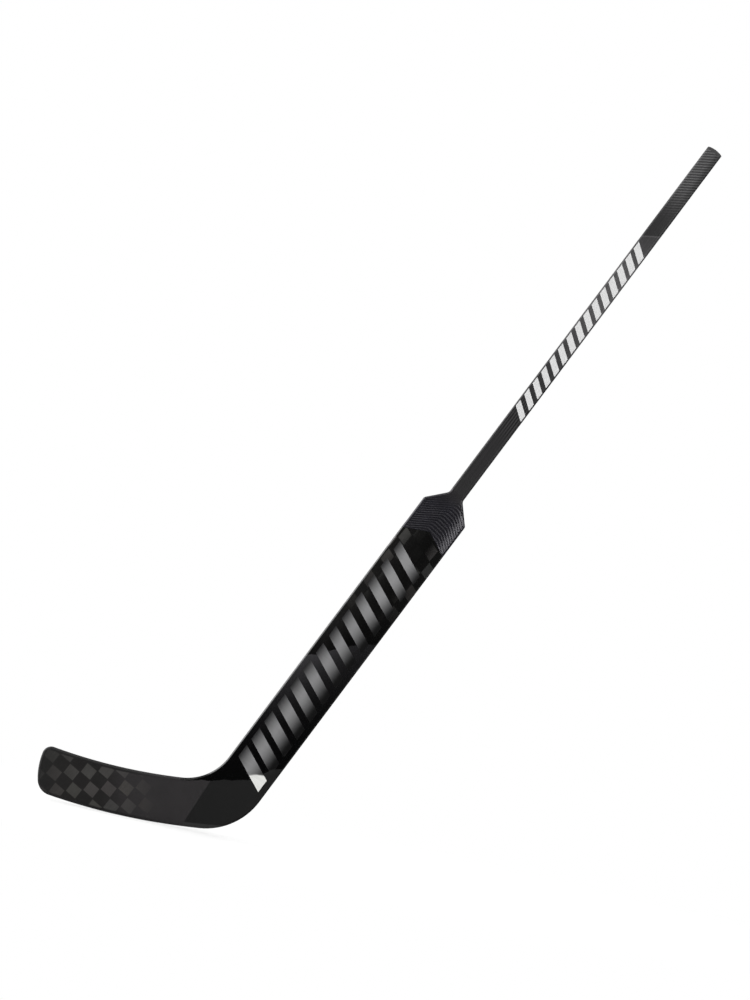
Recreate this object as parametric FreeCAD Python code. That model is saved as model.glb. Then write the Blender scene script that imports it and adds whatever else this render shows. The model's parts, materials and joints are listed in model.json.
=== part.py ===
# Ice hockey goalie stick: hollow shaft, foam-cored paddle and heel, foam-cored curved blade, all bonded.
import FreeCAD, Part
import math
import os
from FreeCAD import Vector

# Every length is in millimetres. The stick stands as it is held in play: the paddle's flat faces look
# along Y, the blade points to -X and the shaft leans to +X. "Along" is measured up the stick's axis
# from the point where the axis meets the ice, "across" is square to it, to the right.

# Lie of the stick
lean_deg = 65.15

# Shaft
shaft_width = 28.7
shaft_length = 737.5
laminate_wall = 1.5
edge_radius = 4.5
grip_height = 33.0

# Butt plug at the shaft's upper end
plug_head_height = 6.0
plug_dome_height = 2.5
plug_stem_length = 30.0
plug_edge_radius = 1.2

# Spigot that joins the shaft to the shoulder, and the glue line round fitted pieces
spigot_depth_in_paddle = 130.0
spigot_depth_in_shaft = 90.0
glue_line = 0.15

# Paddle and shoulder
paddle_width = 88.9
paddle_top = 696.0
shoulder_run = 33.0
shoulder_corner_radius = 6.0
neck_radius = 10.0
neck_run = 8.0
body_depth = 20.0
stringer_thickness = 2.4
stringer_offset = 15.0

# Ribbed grip on the shoulder
grip_apex_drop = 43.0
grip_skirt_drop = 22.0
rib_pitch = 4.0
rib_groove_width = 1.6
rib_groove_depth = 0.5
rib_margin = 5.0

# Heel, where the paddle thins to the blade
heel_depth = 14.0
depth_change_start = 152.0
depth_change_run = 140.0
heel_radius = 115.0
throat_radius = 90.0
heel_core_top = 148.0

# Blade
blade_height = 82.1
sole_radius = 1233.75
sole_low_point = 137.9
top_edge_radius = 1004.5
top_edge_low_point = 149.9
toe_reach = 305.6
toe_mid_height = 57.0
toe_bow_radius = 120.0
toe_low_corner_radius = 28.0
toe_top_corner_radius = 16.0
toe_depth = 9.5
toe_curve_offset = 18.0
curve_start = 110.0
rim_band_width = 6.0
blade_skin = 1.2

# Seam between blade and heel, and the spar that crosses it
seam_bend_across = 45.7
seam_bend_along = 84.0
seam_tilt_deg = 3.8
spar_height_over_sole = 34.0
spar_height = 15.0
tongue_length = 52.0
tongue_depth = 7.0
tongue_root = 24.0

# Share of a piece's depth that its rounded edges may take, and the overrun of every cut
rounding_share = 0.47
overrun = 60.0
touch_tolerance = 0.02

# Directions and places worked out from the sizes above
lean = math.radians(lean_deg)
axis_dir = Vector(math.cos(lean), 0, math.sin(lean))
right_dir = Vector(math.sin(lean), 0, -math.cos(lean))
depth_dir = Vector(0, 1, 0)
paddle_half = paddle_width / 2
shaft_half = shaft_width / 2
shaft_seat = paddle_top + shoulder_run + neck_run
shaft_top = shaft_seat + shaft_length
bore_width = shaft_width - 2 * laminate_wall
bore_depth = body_depth - 2 * laminate_wall
bore_radius = edge_radius - laminate_wall
spigot_width = bore_width - 2 * glue_line
spigot_depth = bore_depth - 2 * glue_line
spigot_foot = shaft_seat - spigot_depth_in_paddle
spigot_top = shaft_seat + spigot_depth_in_shaft
grip_apex = paddle_top - grip_apex_drop
reach_all = shaft_top + overrun


def unit(vector):
    """The vector at length one."""
    return Vector(vector).normalize()


def on_axis(across, along):
    """Point at the given place across and along the stick's axis."""
    return right_dir * across + axis_dir * along


def axis_place(point):
    """A point's place across and along the stick's axis."""
    return point.dot(right_dir), point.dot(axis_dir)


def below_on_line(across, center, reach):
    """Lower point on the line at this place across that lies at the given reach from a centre."""
    center_across, center_along = axis_place(center)
    drop = math.sqrt(reach ** 2 - (across - center_across) ** 2)
    return on_axis(across, center_along - drop)


def meet(center_a, reach_a, center_b, reach_b, near):
    """Point at the given reaches from two centres, the one of two that is nearer to a third point."""
    gap = center_b - center_a
    step = (reach_a ** 2 - reach_b ** 2 + gap.Length ** 2) / (2 * gap.Length)
    rise = math.sqrt(reach_a ** 2 - step ** 2)
    foot = center_a + unit(gap) * step
    side = unit(gap.cross(depth_dir)) * rise
    return min((foot + side, foot - side), key=near.distanceToPoint)


def towards(center, target, reach):
    """Point at the given reach from a centre, on the way to a target."""
    return center + unit(target - center) * reach


def line_out_of_circle(start, direction, center, radius):
    """Where a line from inside a circle leaves it."""
    offset = start - center
    half = offset.dot(direction)
    return start + direction * (math.sqrt(half ** 2 - offset.Length ** 2 + radius ** 2) - half)


# Arc centres of the outline
sole_center = Vector(-sole_low_point, 0, sole_radius)
top_center = Vector(-top_edge_low_point, 0, blade_height + top_edge_radius)
toe_center = Vector(-toe_reach + toe_bow_radius, 0, toe_mid_height)
heel_center = below_on_line(paddle_half - heel_radius, sole_center, sole_radius - heel_radius)
throat_center = below_on_line(-paddle_half - throat_radius, top_center, top_edge_radius - throat_radius)
low_corner_center = meet(sole_center, sole_radius - toe_low_corner_radius,
                         toe_center, toe_bow_radius - toe_low_corner_radius, Vector(-toe_reach, 0, 0))
top_corner_center = meet(top_center, top_edge_radius + toe_top_corner_radius,
                         toe_center, toe_bow_radius - toe_top_corner_radius,
                         Vector(-toe_reach, 0, blade_height))

# Seam line between blade and heel
seam_angle = lean + math.radians(seam_tilt_deg)
seam_down = Vector(-math.cos(seam_angle), 0, -math.sin(seam_angle))
seam_square = Vector(math.sin(seam_angle), 0, -math.cos(seam_angle))
seam_bend = on_axis(-seam_bend_across, seam_bend_along)

# Shoulder slopes: normal of the right one, and the centres of its two rounded corners
shoulder_drop = paddle_half - shaft_half
slope_length = math.hypot(shoulder_run, shoulder_drop)
slope_across = shoulder_run / slope_length
slope_along = shoulder_drop / slope_length
slope_lift = (1 - slope_across) / slope_along
corner_along = paddle_top - shoulder_corner_radius * slope_lift
neck_along = paddle_top + shoulder_run + neck_radius * slope_lift


class Outline:
    """A closed outline in the plane of the stick, drawn edge by edge."""

    def __init__(self, start):
        self.here = start
        self.edges = []
        self.rim = []

    def add(self, curve, end, rim):
        """Put one edge on the outline, and on its rim where that is rounded later."""
        edge = curve.toShape()
        self.edges.append(edge)
        if rim:
            self.rim.append(edge)
        self.here = end

    def line(self, end, rim=True):
        """Go straight to a point."""
        self.add(Part.LineSegment(self.here, end), end, rim)

    def arc(self, center, end):
        """Go to a point round a centre, the short way."""
        middle = (self.here - center) + (end - center)
        self.add(Part.Arc(self.here, center + unit(middle) * (end - center).Length, end), end, True)

    def face(self):
        """The flat face inside the outline."""
        return Part.Face(Part.Wire(self.edges))


def polygon(points):
    """Flat face inside straight edges."""
    outline = Outline(points[0])
    for point in points[1:] + points[:1]:
        outline.line(point)
    return outline.face()


def thick(face, low, high):
    """A face in the plane of the stick made solid between two depths."""
    return face.translated(depth_dir * low).extrude(depth_dir * (high - low))


def through(face):
    """A face made solid through everything, as a cutter."""
    return thick(face, -overrun, overrun)


def seam_ends(inset):
    """Upper and lower end of the seam on an outline drawn in by the inset."""
    upper = towards(throat_center, seam_bend, throat_radius + inset)
    lower = line_out_of_circle(seam_bend, seam_down, sole_center, sole_radius - inset)
    return upper, lower


def body_outline(inset):
    """Outline of heel, paddle and shoulder, drawn in by the inset but for the seam and the shaft's seat."""
    seam_top, seam_foot = seam_ends(inset)
    corner_in = shoulder_corner_radius - inset
    neck_out = neck_radius + inset
    outline = Outline(seam_foot)
    outline.arc(sole_center, towards(sole_center, heel_center, sole_radius - inset))
    outline.arc(heel_center, heel_center + right_dir * (heel_radius - inset))
    right_corner = on_axis(paddle_half - shoulder_corner_radius, corner_along)
    right_slope = on_axis(slope_across, slope_along)
    outline.line(right_corner + right_dir * corner_in)
    outline.arc(right_corner, right_corner + right_slope * corner_in)
    right_neck = on_axis(shaft_half + neck_radius, neck_along)
    outline.line(right_neck - right_slope * neck_out)
    outline.arc(right_neck, right_neck - right_dir * neck_out)
    outline.line(on_axis(shaft_half - inset, shaft_seat))
    outline.line(on_axis(inset - shaft_half, shaft_seat), rim=False)
    left_neck = on_axis(-shaft_half - neck_radius, neck_along)
    left_slope = on_axis(-slope_across, slope_along)
    outline.line(left_neck + right_dir * neck_out)
    outline.arc(left_neck, left_neck - left_slope * neck_out)
    left_corner = on_axis(shoulder_corner_radius - paddle_half, corner_along)
    outline.line(left_corner + left_slope * corner_in)
    outline.arc(left_corner, left_corner - right_dir * corner_in)
    outline.line(throat_center + right_dir * (throat_radius + inset))
    outline.arc(throat_center, seam_top)
    outline.line(seam_bend, rim=False)
    outline.line(seam_foot, rim=False)
    return outline


def blade_outline(inset):
    """Outline of the blade, drawn in by the inset but for the seam."""
    seam_top, seam_foot = seam_ends(inset)
    outline = Outline(seam_foot)
    outline.arc(sole_center, towards(sole_center, low_corner_center, sole_radius - inset))
    outline.arc(low_corner_center, towards(toe_center, low_corner_center, toe_bow_radius - inset))
    outline.arc(toe_center, towards(toe_center, top_corner_center, toe_bow_radius - inset))
    outline.arc(top_corner_center, towards(top_center, top_corner_center, top_edge_radius + inset))
    outline.arc(top_center, towards(top_center, throat_center, top_edge_radius + inset))
    outline.arc(throat_center, seam_top)
    outline.line(seam_bend, rim=False)
    outline.line(seam_foot, rim=False)
    return outline


def round_rim(solid, outline, radius):
    """The solid with its front and back edges rounded along the rim of its outline."""
    rim = Part.Compound(outline.rim)
    edges = []
    for edge in solid.Edges:
        middle = edge.valueAt((edge.FirstParameter + edge.LastParameter) / 2)
        ends = edge.Vertexes[0].Point - edge.Vertexes[-1].Point
        flat_run = math.hypot(ends.x, ends.z)
        foot = Part.Vertex(Vector(middle.x, 0, middle.z))
        if flat_run > touch_tolerance and foot.distToShape(rim)[0] < touch_tolerance:
            edges.append(edge)
    return solid.makeFillet(radius, edges)


def stand(shape):
    """A shape drawn about the Z axis, leaned over onto the stick's axis."""
    leaned = shape.copy()
    leaned.rotate(Vector(0, 0, 0), depth_dir, 90 - lean_deg)
    return leaned


def axis_box(across, along, width, length):
    """Cutter square to the stick's axis, from its lower left corner, through the whole depth."""
    box = Part.makeBox(width, 2 * overrun, length, Vector(across, -overrun, along))
    return stand(box)


def rounded_bar(width, depth, radius, foot, length):
    """Bar of rounded rectangular section that stands on the axis."""
    bar = Part.makeBox(width, depth, length, Vector(-width / 2, -depth / 2, foot))
    long_edges = []
    for edge in bar.Edges:
        if edge.BoundBox.ZLength > touch_tolerance:
            long_edges.append(edge)
    return bar.makeFillet(radius, long_edges)


def body_slab(inset):
    """Depth of heel, paddle and shoulder: thin at the heel, then two tangent arcs up to full depth."""
    low_half = heel_depth / 2 - inset
    high_half = body_depth / 2 - inset
    half_rise = (high_half - low_half) / 2
    half_run = depth_change_run / 2
    bend_radius = (half_run ** 2 + half_rise ** 2) / (2 * half_rise)
    half_angle = math.asin(half_run / bend_radius) / 2
    step_run = bend_radius * math.sin(half_angle)
    step_rise = bend_radius - bend_radius * math.cos(half_angle)
    middle_along = depth_change_start + half_run
    end_along = depth_change_start + depth_change_run

    def side(sign):
        low_step = Vector(0, sign * (low_half + step_rise), depth_change_start + step_run)
        high_step = Vector(0, sign * (high_half - step_rise), end_along - step_run)
        start = Vector(0, sign * low_half, depth_change_start)
        middle = Vector(0, sign * (low_half + half_rise), middle_along)
        end = Vector(0, sign * high_half, end_along)
        foot = Vector(0, sign * low_half, -reach_all)
        head = Vector(0, sign * high_half, reach_all)
        return foot, start, low_step, middle, high_step, end, head

    edges = []
    heads = []
    feet = []
    for sign in (-1, 1):
        foot, start, low_step, middle, high_step, end, head = side(sign)
        edges.append(Part.LineSegment(foot, start).toShape())
        edges.append(Part.Arc(start, low_step, middle).toShape())
        edges.append(Part.Arc(middle, high_step, end).toShape())
        edges.append(Part.LineSegment(end, head).toShape())
        heads.append(head)
        feet.append(foot)
    edges.append(Part.LineSegment(*heads).toShape())
    edges.append(Part.LineSegment(*feet).toShape())
    face = Part.Face(Part.Wire(Part.__sortEdges__(edges)))
    slab = face.translated(Vector(-reach_all, 0, 0)).extrude(Vector(2 * reach_all, 0, 0))
    return stand(slab)


def body_solid(inset):
    """Heel, paddle and shoulder as one rounded solid, drawn in by the inset."""
    outline = body_outline(inset)
    solid = through(outline.face()).common(body_slab(inset))
    return round_rim(solid.Solids[0], outline, edge_radius - inset)


def blade_side(side, inset):
    """Front (-1) or back (1) face of the blade, drawn in by the inset: flat depth, curve centre, radius."""
    run = toe_reach - curve_start
    offset = toe_curve_offset if side < 0 else toe_curve_offset - heel_depth + toe_depth
    radius = (run ** 2 + offset ** 2) / (2 * offset)
    center = Vector(-curve_start, side * heel_depth / 2 + radius, 0)
    return side * (heel_depth / 2 - inset), center, radius + side * inset


def blade_layer(near, far):
    """Layer of the blade between two curved faces, each given as its flat depth, centre and radius."""
    run = toe_reach - curve_start + overrun
    edges = []
    starts = []
    tips = []
    for flat, center, radius in (near, far):
        start = Vector(overrun, flat, 0)
        bend = Vector(-curve_start, flat, 0)
        angle = math.asin(run / radius)
        middle = center - Vector(math.sin(angle / 2), math.cos(angle / 2), 0) * radius
        tip = center - Vector(math.sin(angle), math.cos(angle), 0) * radius
        edges.append(Part.LineSegment(start, bend).toShape())
        edges.append(Part.Arc(bend, middle, tip).toShape())
        starts.append(start)
        tips.append(tip)
    edges.append(Part.LineSegment(*starts).toShape())
    edges.append(Part.LineSegment(*tips).toShape())
    face = Part.Face(Part.Wire(Part.__sortEdges__(edges)))
    tall = blade_height + throat_radius + overrun
    return face.translated(Vector(0, 0, -overrun)).extrude(Vector(0, 0, tall + overrun))


def spar_strip(gap, from_seam, to_seam):
    """Strip that follows the sole at the spar's height, between two places square to the seam."""
    low_radius = sole_radius - spar_height_over_sole + gap
    high_radius = low_radius - spar_height - 2 * gap
    corners = []
    for radius in (low_radius, high_radius):
        for place in (from_seam, to_seam):
            start = seam_bend + seam_square * place
            corners.append(line_out_of_circle(start, seam_down, sole_center, radius))
    low_left, low_right, high_left, high_right = corners
    outline = Outline(low_left)
    outline.arc(sole_center, low_right)
    outline.line(high_right)
    outline.arc(sole_center, high_left)
    outline.line(low_left)
    return outline.face()


def tallest_first(shape):
    """The separate solids of a shape, the highest first."""
    return sorted(shape.Solids, key=lambda solid: -solid.CenterOfMass.z)


def left_first(shape):
    """The separate solids of a shape, the leftmost across the axis first."""
    return sorted(shape.Solids, key=lambda solid: axis_place(solid.CenterOfMass)[0])


def grip_field():
    """Cutter over the ribbed shoulder: everything above the chevron that bounds it."""
    slope = grip_skirt_drop / paddle_half
    wide = paddle_half + overrun
    skirt = grip_apex - slope * wide
    points = [on_axis(-wide, skirt), on_axis(0, grip_apex), on_axis(wide, skirt),
              on_axis(wide, shaft_seat + overrun), on_axis(-wide, shaft_seat + overrun)]
    return through(polygon(points))


def rib_grooves(side):
    """Chevron grooves of the ribbed grip on the front (-1) or back (1), parallel to the shoulder slopes."""
    slope = shoulder_run / shoulder_drop
    wide = paddle_half + overrun
    band = rib_groove_width / slope_across
    floor = side * (body_depth / 2 - rib_groove_depth)
    grooves = []
    apex = grip_apex + rib_margin
    while apex < shaft_seat - rib_margin:
        points = [on_axis(-wide, apex - slope * wide), on_axis(0, apex), on_axis(wide, apex - slope * wide),
                  on_axis(wide, apex - slope * wide + band), on_axis(0, apex + band),
                  on_axis(-wide, apex - slope * wide + band)]
        grooves.append(thick(polygon(points), floor, floor + side * overrun))
        apex += rib_pitch
    return grooves


def front_and_back(shape):
    """A shape cut in two at mid depth: the front half and the back half."""
    size = 2 * reach_all
    front_space = Part.makeBox(size, reach_all, size, Vector(-reach_all, -reach_all, -reach_all))
    return shape.common(front_space).Solids[0], shape.cut(front_space).Solids[0]


def shaft_pieces():
    """Hollow shaft, its butt plug, the foam in its bore and the spigot into the shoulder."""
    outer = rounded_bar(shaft_width, body_depth, edge_radius, shaft_seat, shaft_length)
    bore = rounded_bar(bore_width, bore_depth, bore_radius, shaft_seat, shaft_length)
    spigot = rounded_bar(spigot_width, spigot_depth, bore_radius, spigot_foot, spigot_top - spigot_foot)
    stem_foot = shaft_top - plug_stem_length
    stem = rounded_bar(spigot_width, spigot_depth, bore_radius, stem_foot, plug_stem_length)
    head = rounded_bar(shaft_width, body_depth, edge_radius, shaft_top, plug_head_height)
    dome_radius = (shaft_half ** 2 + plug_dome_height ** 2) / (2 * plug_dome_height)
    dome_top = shaft_top + plug_head_height
    dome = Part.makeCylinder(dome_radius, 2 * overrun, Vector(0, -overrun, dome_top - dome_radius), depth_dir)
    head = head.common(dome)
    crown = []
    for edge in head.Edges:
        if edge.BoundBox.ZMin > shaft_top + touch_tolerance:
            crown.append(edge)
    head = head.makeFillet(plug_edge_radius, crown)
    foam = rounded_bar(spigot_width, spigot_depth, bore_radius, spigot_top, stem_foot - spigot_top)
    return {
        "shaft_tube": stand(outer.cut(bore)),
        "butt_plug": stand(head.fuse(stem)),
        "shaft_spigot": stand(spigot),
        "shaft_foam_core": stand(foam),
    }


def body_pieces():
    """Skins of paddle and shoulder, and what they hold: cheeks, stringers, foam strips and heel core."""
    core = body_solid(laminate_wall)
    shell = body_solid(0).cut(core)
    field = grip_field()
    paddle_front, paddle_back = front_and_back(shell.cut(field))
    shoulder_front, shoulder_back = front_and_back(shell.common(field))
    wide = paddle_width + 2 * overrun
    left_end = -wide / 2
    shoulder_space = axis_box(left_end, spigot_foot, wide, shaft_seat - spigot_foot + overrun)
    heel_space = axis_box(left_end, -reach_all, wide, reach_all + heel_core_top)
    slot_width = spigot_width + 2 * glue_line
    slot = axis_box(-slot_width / 2, spigot_foot, slot_width, reach_all)
    left_cheek, right_cheek = left_first(core.common(shoulder_space).cut(slot))
    mortise = thick(spar_strip(glue_line, -tongue_root, tongue_length + glue_line),
                    -tongue_depth / 2 - glue_line, tongue_depth / 2 + glue_line)
    heel_core = core.common(heel_space).cut(mortise)
    web_length = spigot_foot - heel_core_top
    webs = []
    for place in (-stringer_offset, stringer_offset):
        webs.append(axis_box(place - stringer_thickness / 2, heel_core_top, stringer_thickness, web_length))
    middle = core.common(axis_box(left_end, heel_core_top, wide, web_length))
    left_foam, middle_foam, right_foam = left_first(middle.cut(webs))
    return {
        "shoulder_front_grip": shoulder_front.cut(rib_grooves(-1)),
        "shoulder_back_grip": shoulder_back.cut(rib_grooves(1)),
        "shoulder_cheek_left": left_cheek,
        "shoulder_cheek_right": right_cheek,
        "paddle_front_skin": paddle_front,
        "paddle_back_skin": paddle_back,
        "paddle_stringer_left": middle.common(webs[0]),
        "paddle_stringer_right": middle.common(webs[1]),
        "paddle_foam_left": left_foam,
        "paddle_foam_middle": middle_foam,
        "paddle_foam_right": right_foam,
        "heel_core": heel_core,
    }


def blade_pieces():
    """Rim bands, skins, foam and spar of the blade."""
    front = blade_side(-1, 0)
    front_inside = blade_side(-1, blade_skin)
    back = blade_side(1, 0)
    back_inside = blade_side(1, blade_skin)
    outline = blade_outline(0)
    whole = through(outline.face()).common(blade_layer(front, back)).Solids[0]
    whole = round_rim(whole, outline, min(edge_radius, toe_depth * rounding_share))
    field = through(blade_outline(rim_band_width).face())
    rim = whole.cut(field)
    toe_space = Part.makeBox(reach_all, 2 * overrun, reach_all,
                             Vector(toe_low_corner_radius - toe_reach - reach_all, -overrun, -overrun))
    top_band, sole_band = tallest_first(rim.cut(toe_space))
    inside = field.common(blade_layer(front_inside, back_inside))
    strip = through(spar_strip(0, -toe_reach - overrun, overrun))
    upper_foam, lower_foam = tallest_first(inside.cut(strip))
    tongue = thick(spar_strip(0, -tongue_root, tongue_length), -tongue_depth / 2, tongue_depth / 2)
    return {
        "blade_top_band": top_band,
        "blade_toe_cap": rim.common(toe_space),
        "blade_sole_band": sole_band,
        "blade_front_skin": field.common(blade_layer(front, front_inside)),
        "blade_back_skin": field.common(blade_layer(back_inside, back)),
        "blade_foam_upper": upper_foam,
        "blade_foam_lower": lower_foam,
        "blade_spar": inside.common(strip).fuse(tongue).removeSplitter(),
    }


def save(pieces):
    """Write each piece to its own file, with the middle of the hand's grip as the origin."""
    grip_place = on_axis(0, shaft_seat + grip_height)
    for name, shape in pieces.items():
        shape.translated(-grip_place).exportStep("parts/" + name + ".step")
        print(name, len(shape.Solids), round(shape.Volume), shape.isValid())


os.makedirs("parts", exist_ok=True)
save(shaft_pieces())
save(body_pieces())
save(blade_pieces())
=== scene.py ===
"""Looks of an ice hockey goalie stick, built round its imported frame.

The frame gives every piece its place and its size, in metres. The shaft and the two halves of the
shoulder get new meshes, with the ridges that a hand feels, and the other pieces keep their shape and
get a finish. Front is the side that looks along -Y.
"""

import json
import logging
import math
from dataclasses import dataclass, replace
from enum import Enum
from functools import partial, reduce
from typing import Any, NamedTuple, Sequence, Union

import bmesh
import bpy
import numpy as np
from mathutils import Matrix, Vector


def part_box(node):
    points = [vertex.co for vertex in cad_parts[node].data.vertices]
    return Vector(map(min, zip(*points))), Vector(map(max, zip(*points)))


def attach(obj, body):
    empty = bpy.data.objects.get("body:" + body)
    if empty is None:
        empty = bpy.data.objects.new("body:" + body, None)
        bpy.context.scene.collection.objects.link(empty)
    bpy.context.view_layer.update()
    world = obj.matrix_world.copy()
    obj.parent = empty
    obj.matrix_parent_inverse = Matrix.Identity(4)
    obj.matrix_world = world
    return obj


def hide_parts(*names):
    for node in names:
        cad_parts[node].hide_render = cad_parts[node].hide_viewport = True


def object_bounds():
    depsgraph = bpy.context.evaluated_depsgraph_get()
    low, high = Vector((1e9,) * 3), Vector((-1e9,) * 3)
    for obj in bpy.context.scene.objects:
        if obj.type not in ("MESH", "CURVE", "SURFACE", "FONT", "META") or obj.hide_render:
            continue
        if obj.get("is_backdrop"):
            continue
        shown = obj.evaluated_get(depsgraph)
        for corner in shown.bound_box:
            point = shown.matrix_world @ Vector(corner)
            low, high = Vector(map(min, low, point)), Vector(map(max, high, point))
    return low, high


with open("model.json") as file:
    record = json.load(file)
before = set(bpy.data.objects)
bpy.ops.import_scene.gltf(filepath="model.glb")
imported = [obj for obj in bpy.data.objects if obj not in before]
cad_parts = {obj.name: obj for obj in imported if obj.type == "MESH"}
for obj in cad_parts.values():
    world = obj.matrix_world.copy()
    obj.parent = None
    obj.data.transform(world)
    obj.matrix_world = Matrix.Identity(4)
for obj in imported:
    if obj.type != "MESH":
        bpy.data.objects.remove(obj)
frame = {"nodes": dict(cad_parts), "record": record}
cad_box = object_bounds()

LOG = logging.getLogger("goalie_stick")
BODY = "root"
DEPTH_AXIS = Vector((0.0, 1.0, 0.0))
CREASE = math.radians(40.0)
PICTURE_TURN = math.radians(12.0)
HALF_CELL = 0.5
WHITE = (1.0, 1.0, 1.0)
SHOWN_RAYS = ("Is Camera Ray", "Is Glossy Ray", "Is Transmission Ray")

Triple = tuple[float, float, float]
Colour = Triple
Span = tuple[float, float]
Places = Union[float, np.ndarray]
Socket = bpy.types.NodeSocket
Number = Union[float, Socket]
Feed = tuple[Union[int, str], Any]


class Side(Enum):
    """The two flat sides of the stick, each with the sign of Y that it looks along."""

    FRONT = -1.0
    BACK = 1.0


class Rim(Enum):
    """The three bands of the blade's rim, by the name of their node."""

    TOP = "blade_top_band"
    TOE = "blade_toe_cap"
    SOLE = "blade_sole_band"


@dataclass(frozen=True)
class Bearings:
    """Directions of the stick, which the frame's hand grip gives.

    Attributes:
        axis: up the shaft.
        right: across the paddle, to the right as seen from the front.
        level: the direction that lies level when the stick is laid out for its picture.
        rise: the direction that then points up.
    """

    axis: Vector
    right: Vector
    level: Vector
    rise: Vector

    @classmethod
    def from_record(cls, record: dict[str, Any], turn: float) -> "Bearings":
        """Reads the shaft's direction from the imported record.

        Args:
            record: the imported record.
            turn: how far the stick is turned clockwise for its picture, in radians.

        Returns:
            The stick's directions.
        """
        grip = next(mount for mount in record["mounts"] if mount["name"] == "hand_grip")
        axis = Vector(grip["axis"]).normalized()
        level = Vector((math.cos(turn), 0.0, math.sin(turn)))
        return cls(axis, DEPTH_AXIS.cross(axis), level, level.cross(DEPTH_AXIS))

    def span(self, node: str, direction: Vector) -> Span:
        """Measures a node of the frame along a direction.

        Args:
            node: the node's name.
            direction: a unit vector.

        Returns:
            The lowest and the highest place of the node along it.
        """
        reach = points_of(node) @ np.array(direction)
        return float(reach.min()), float(reach.max())

    def place(self, across: np.ndarray, along: np.ndarray, depth: np.ndarray) -> np.ndarray:
        """Turns places across, along and through the stick into points.

        Args:
            across: places to the right of the axis.
            along: places up the axis from the hand grip.
            depth: places behind the middle of the stick.

        Returns:
            One point a row, in the frame.
        """
        sizes = np.broadcast_arrays(across, along, depth)
        ways = (self.right, self.axis, DEPTH_AXIS)
        return sum(np.ravel(size)[:, None] * np.array(way) for size, way in zip(sizes, ways))


def points_of(node: str) -> np.ndarray:
    """Returns the corners of a node's mesh, one a row."""
    return np.array([corner.co for corner in frame["nodes"][node].data.vertices])


def smooth_step(value: np.ndarray, low: Places, high: Places) -> np.ndarray:
    """Rises smoothly from 0 to 1.

    Args:
        value: where to read the step.
        low: where it leaves 0.
        high: where it reaches 1.

    Returns:
        The step's height at each value.
    """
    share = np.clip((value - low) / (high - low), 0.0, 1.0)
    return share * share * (3.0 - 2.0 * share)


def shell_faces(rows: int, columns: int, closed: bool, turned: int) -> list[tuple[int, ...]]:
    """Lists the faces of a shell: an outer grid of points, an inner one after it, and the rim between.

    Args:
        rows: rows of points in each grid.
        columns: points in each row.
        closed: whether each row is a ring.
        turned: the first column whose faces start from their second corner, so that they split the
            other way.

    Returns:
        The faces, as numbers of points.
    """
    count = rows * columns
    last = columns if closed else columns - 1
    faces = []
    for row in range(rows - 1):
        for column in range(last):
            after = (column + 1) % columns
            corners = (
                row * columns + column,
                row * columns + after,
                (row + 1) * columns + after,
                (row + 1) * columns + column,
            )
            if column >= turned:
                corners = corners[1:] + corners[:1]
            faces.append(corners)
            faces.append(tuple(corner + count for corner in reversed(corners)))
    foot = list(range(columns))
    head = list(range(count - columns, count))
    if closed:
        loops = [foot + foot[:1], head + head[:1]]
    else:
        right = list(range(columns - 1, count, columns))
        left = list(range(0, count, columns))
        loops = [foot + right[1:] + head[-2::-1] + left[-2::-1]]
    for loop in loops:
        for here, there in zip(loop, loop[1:]):
            faces.append((here, there, there + count, here + count))
    return faces


def new_piece(name: str, points: np.ndarray, faces: list[tuple[int, ...]]) -> bpy.types.Object:
    """Makes a smooth mesh whose faces all look outwards.

    Args:
        name: the piece's name.
        points: its points, one a row.
        faces: its faces, as numbers of points.

    Returns:
        The new object, linked to the scene.
    """
    mesh = bpy.data.meshes.new(name)
    mesh.from_pydata(points.tolist(), [], faces)
    work = bmesh.new()
    work.from_mesh(mesh)
    bmesh.ops.recalc_face_normals(work, faces=work.faces)
    work.to_mesh(mesh)
    work.free()
    mesh.shade_smooth()
    mesh.set_sharp_from_angle(angle=CREASE)
    piece = bpy.data.objects.new(name, mesh)
    bpy.context.scene.collection.objects.link(piece)
    return piece


class Ramp(NamedTuple):
    """A smooth change from one value to another.

    Attributes:
        low: where it leaves the start.
        high: where it reaches the end.
        start: the value below it.
        end: the value above it.
    """

    low: float
    high: float
    start: float
    end: float


class Relief(NamedTuple):
    """Small relief of a surface: how tall it is, in metres, and how much of it shows."""

    size: float
    strength: float


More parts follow.
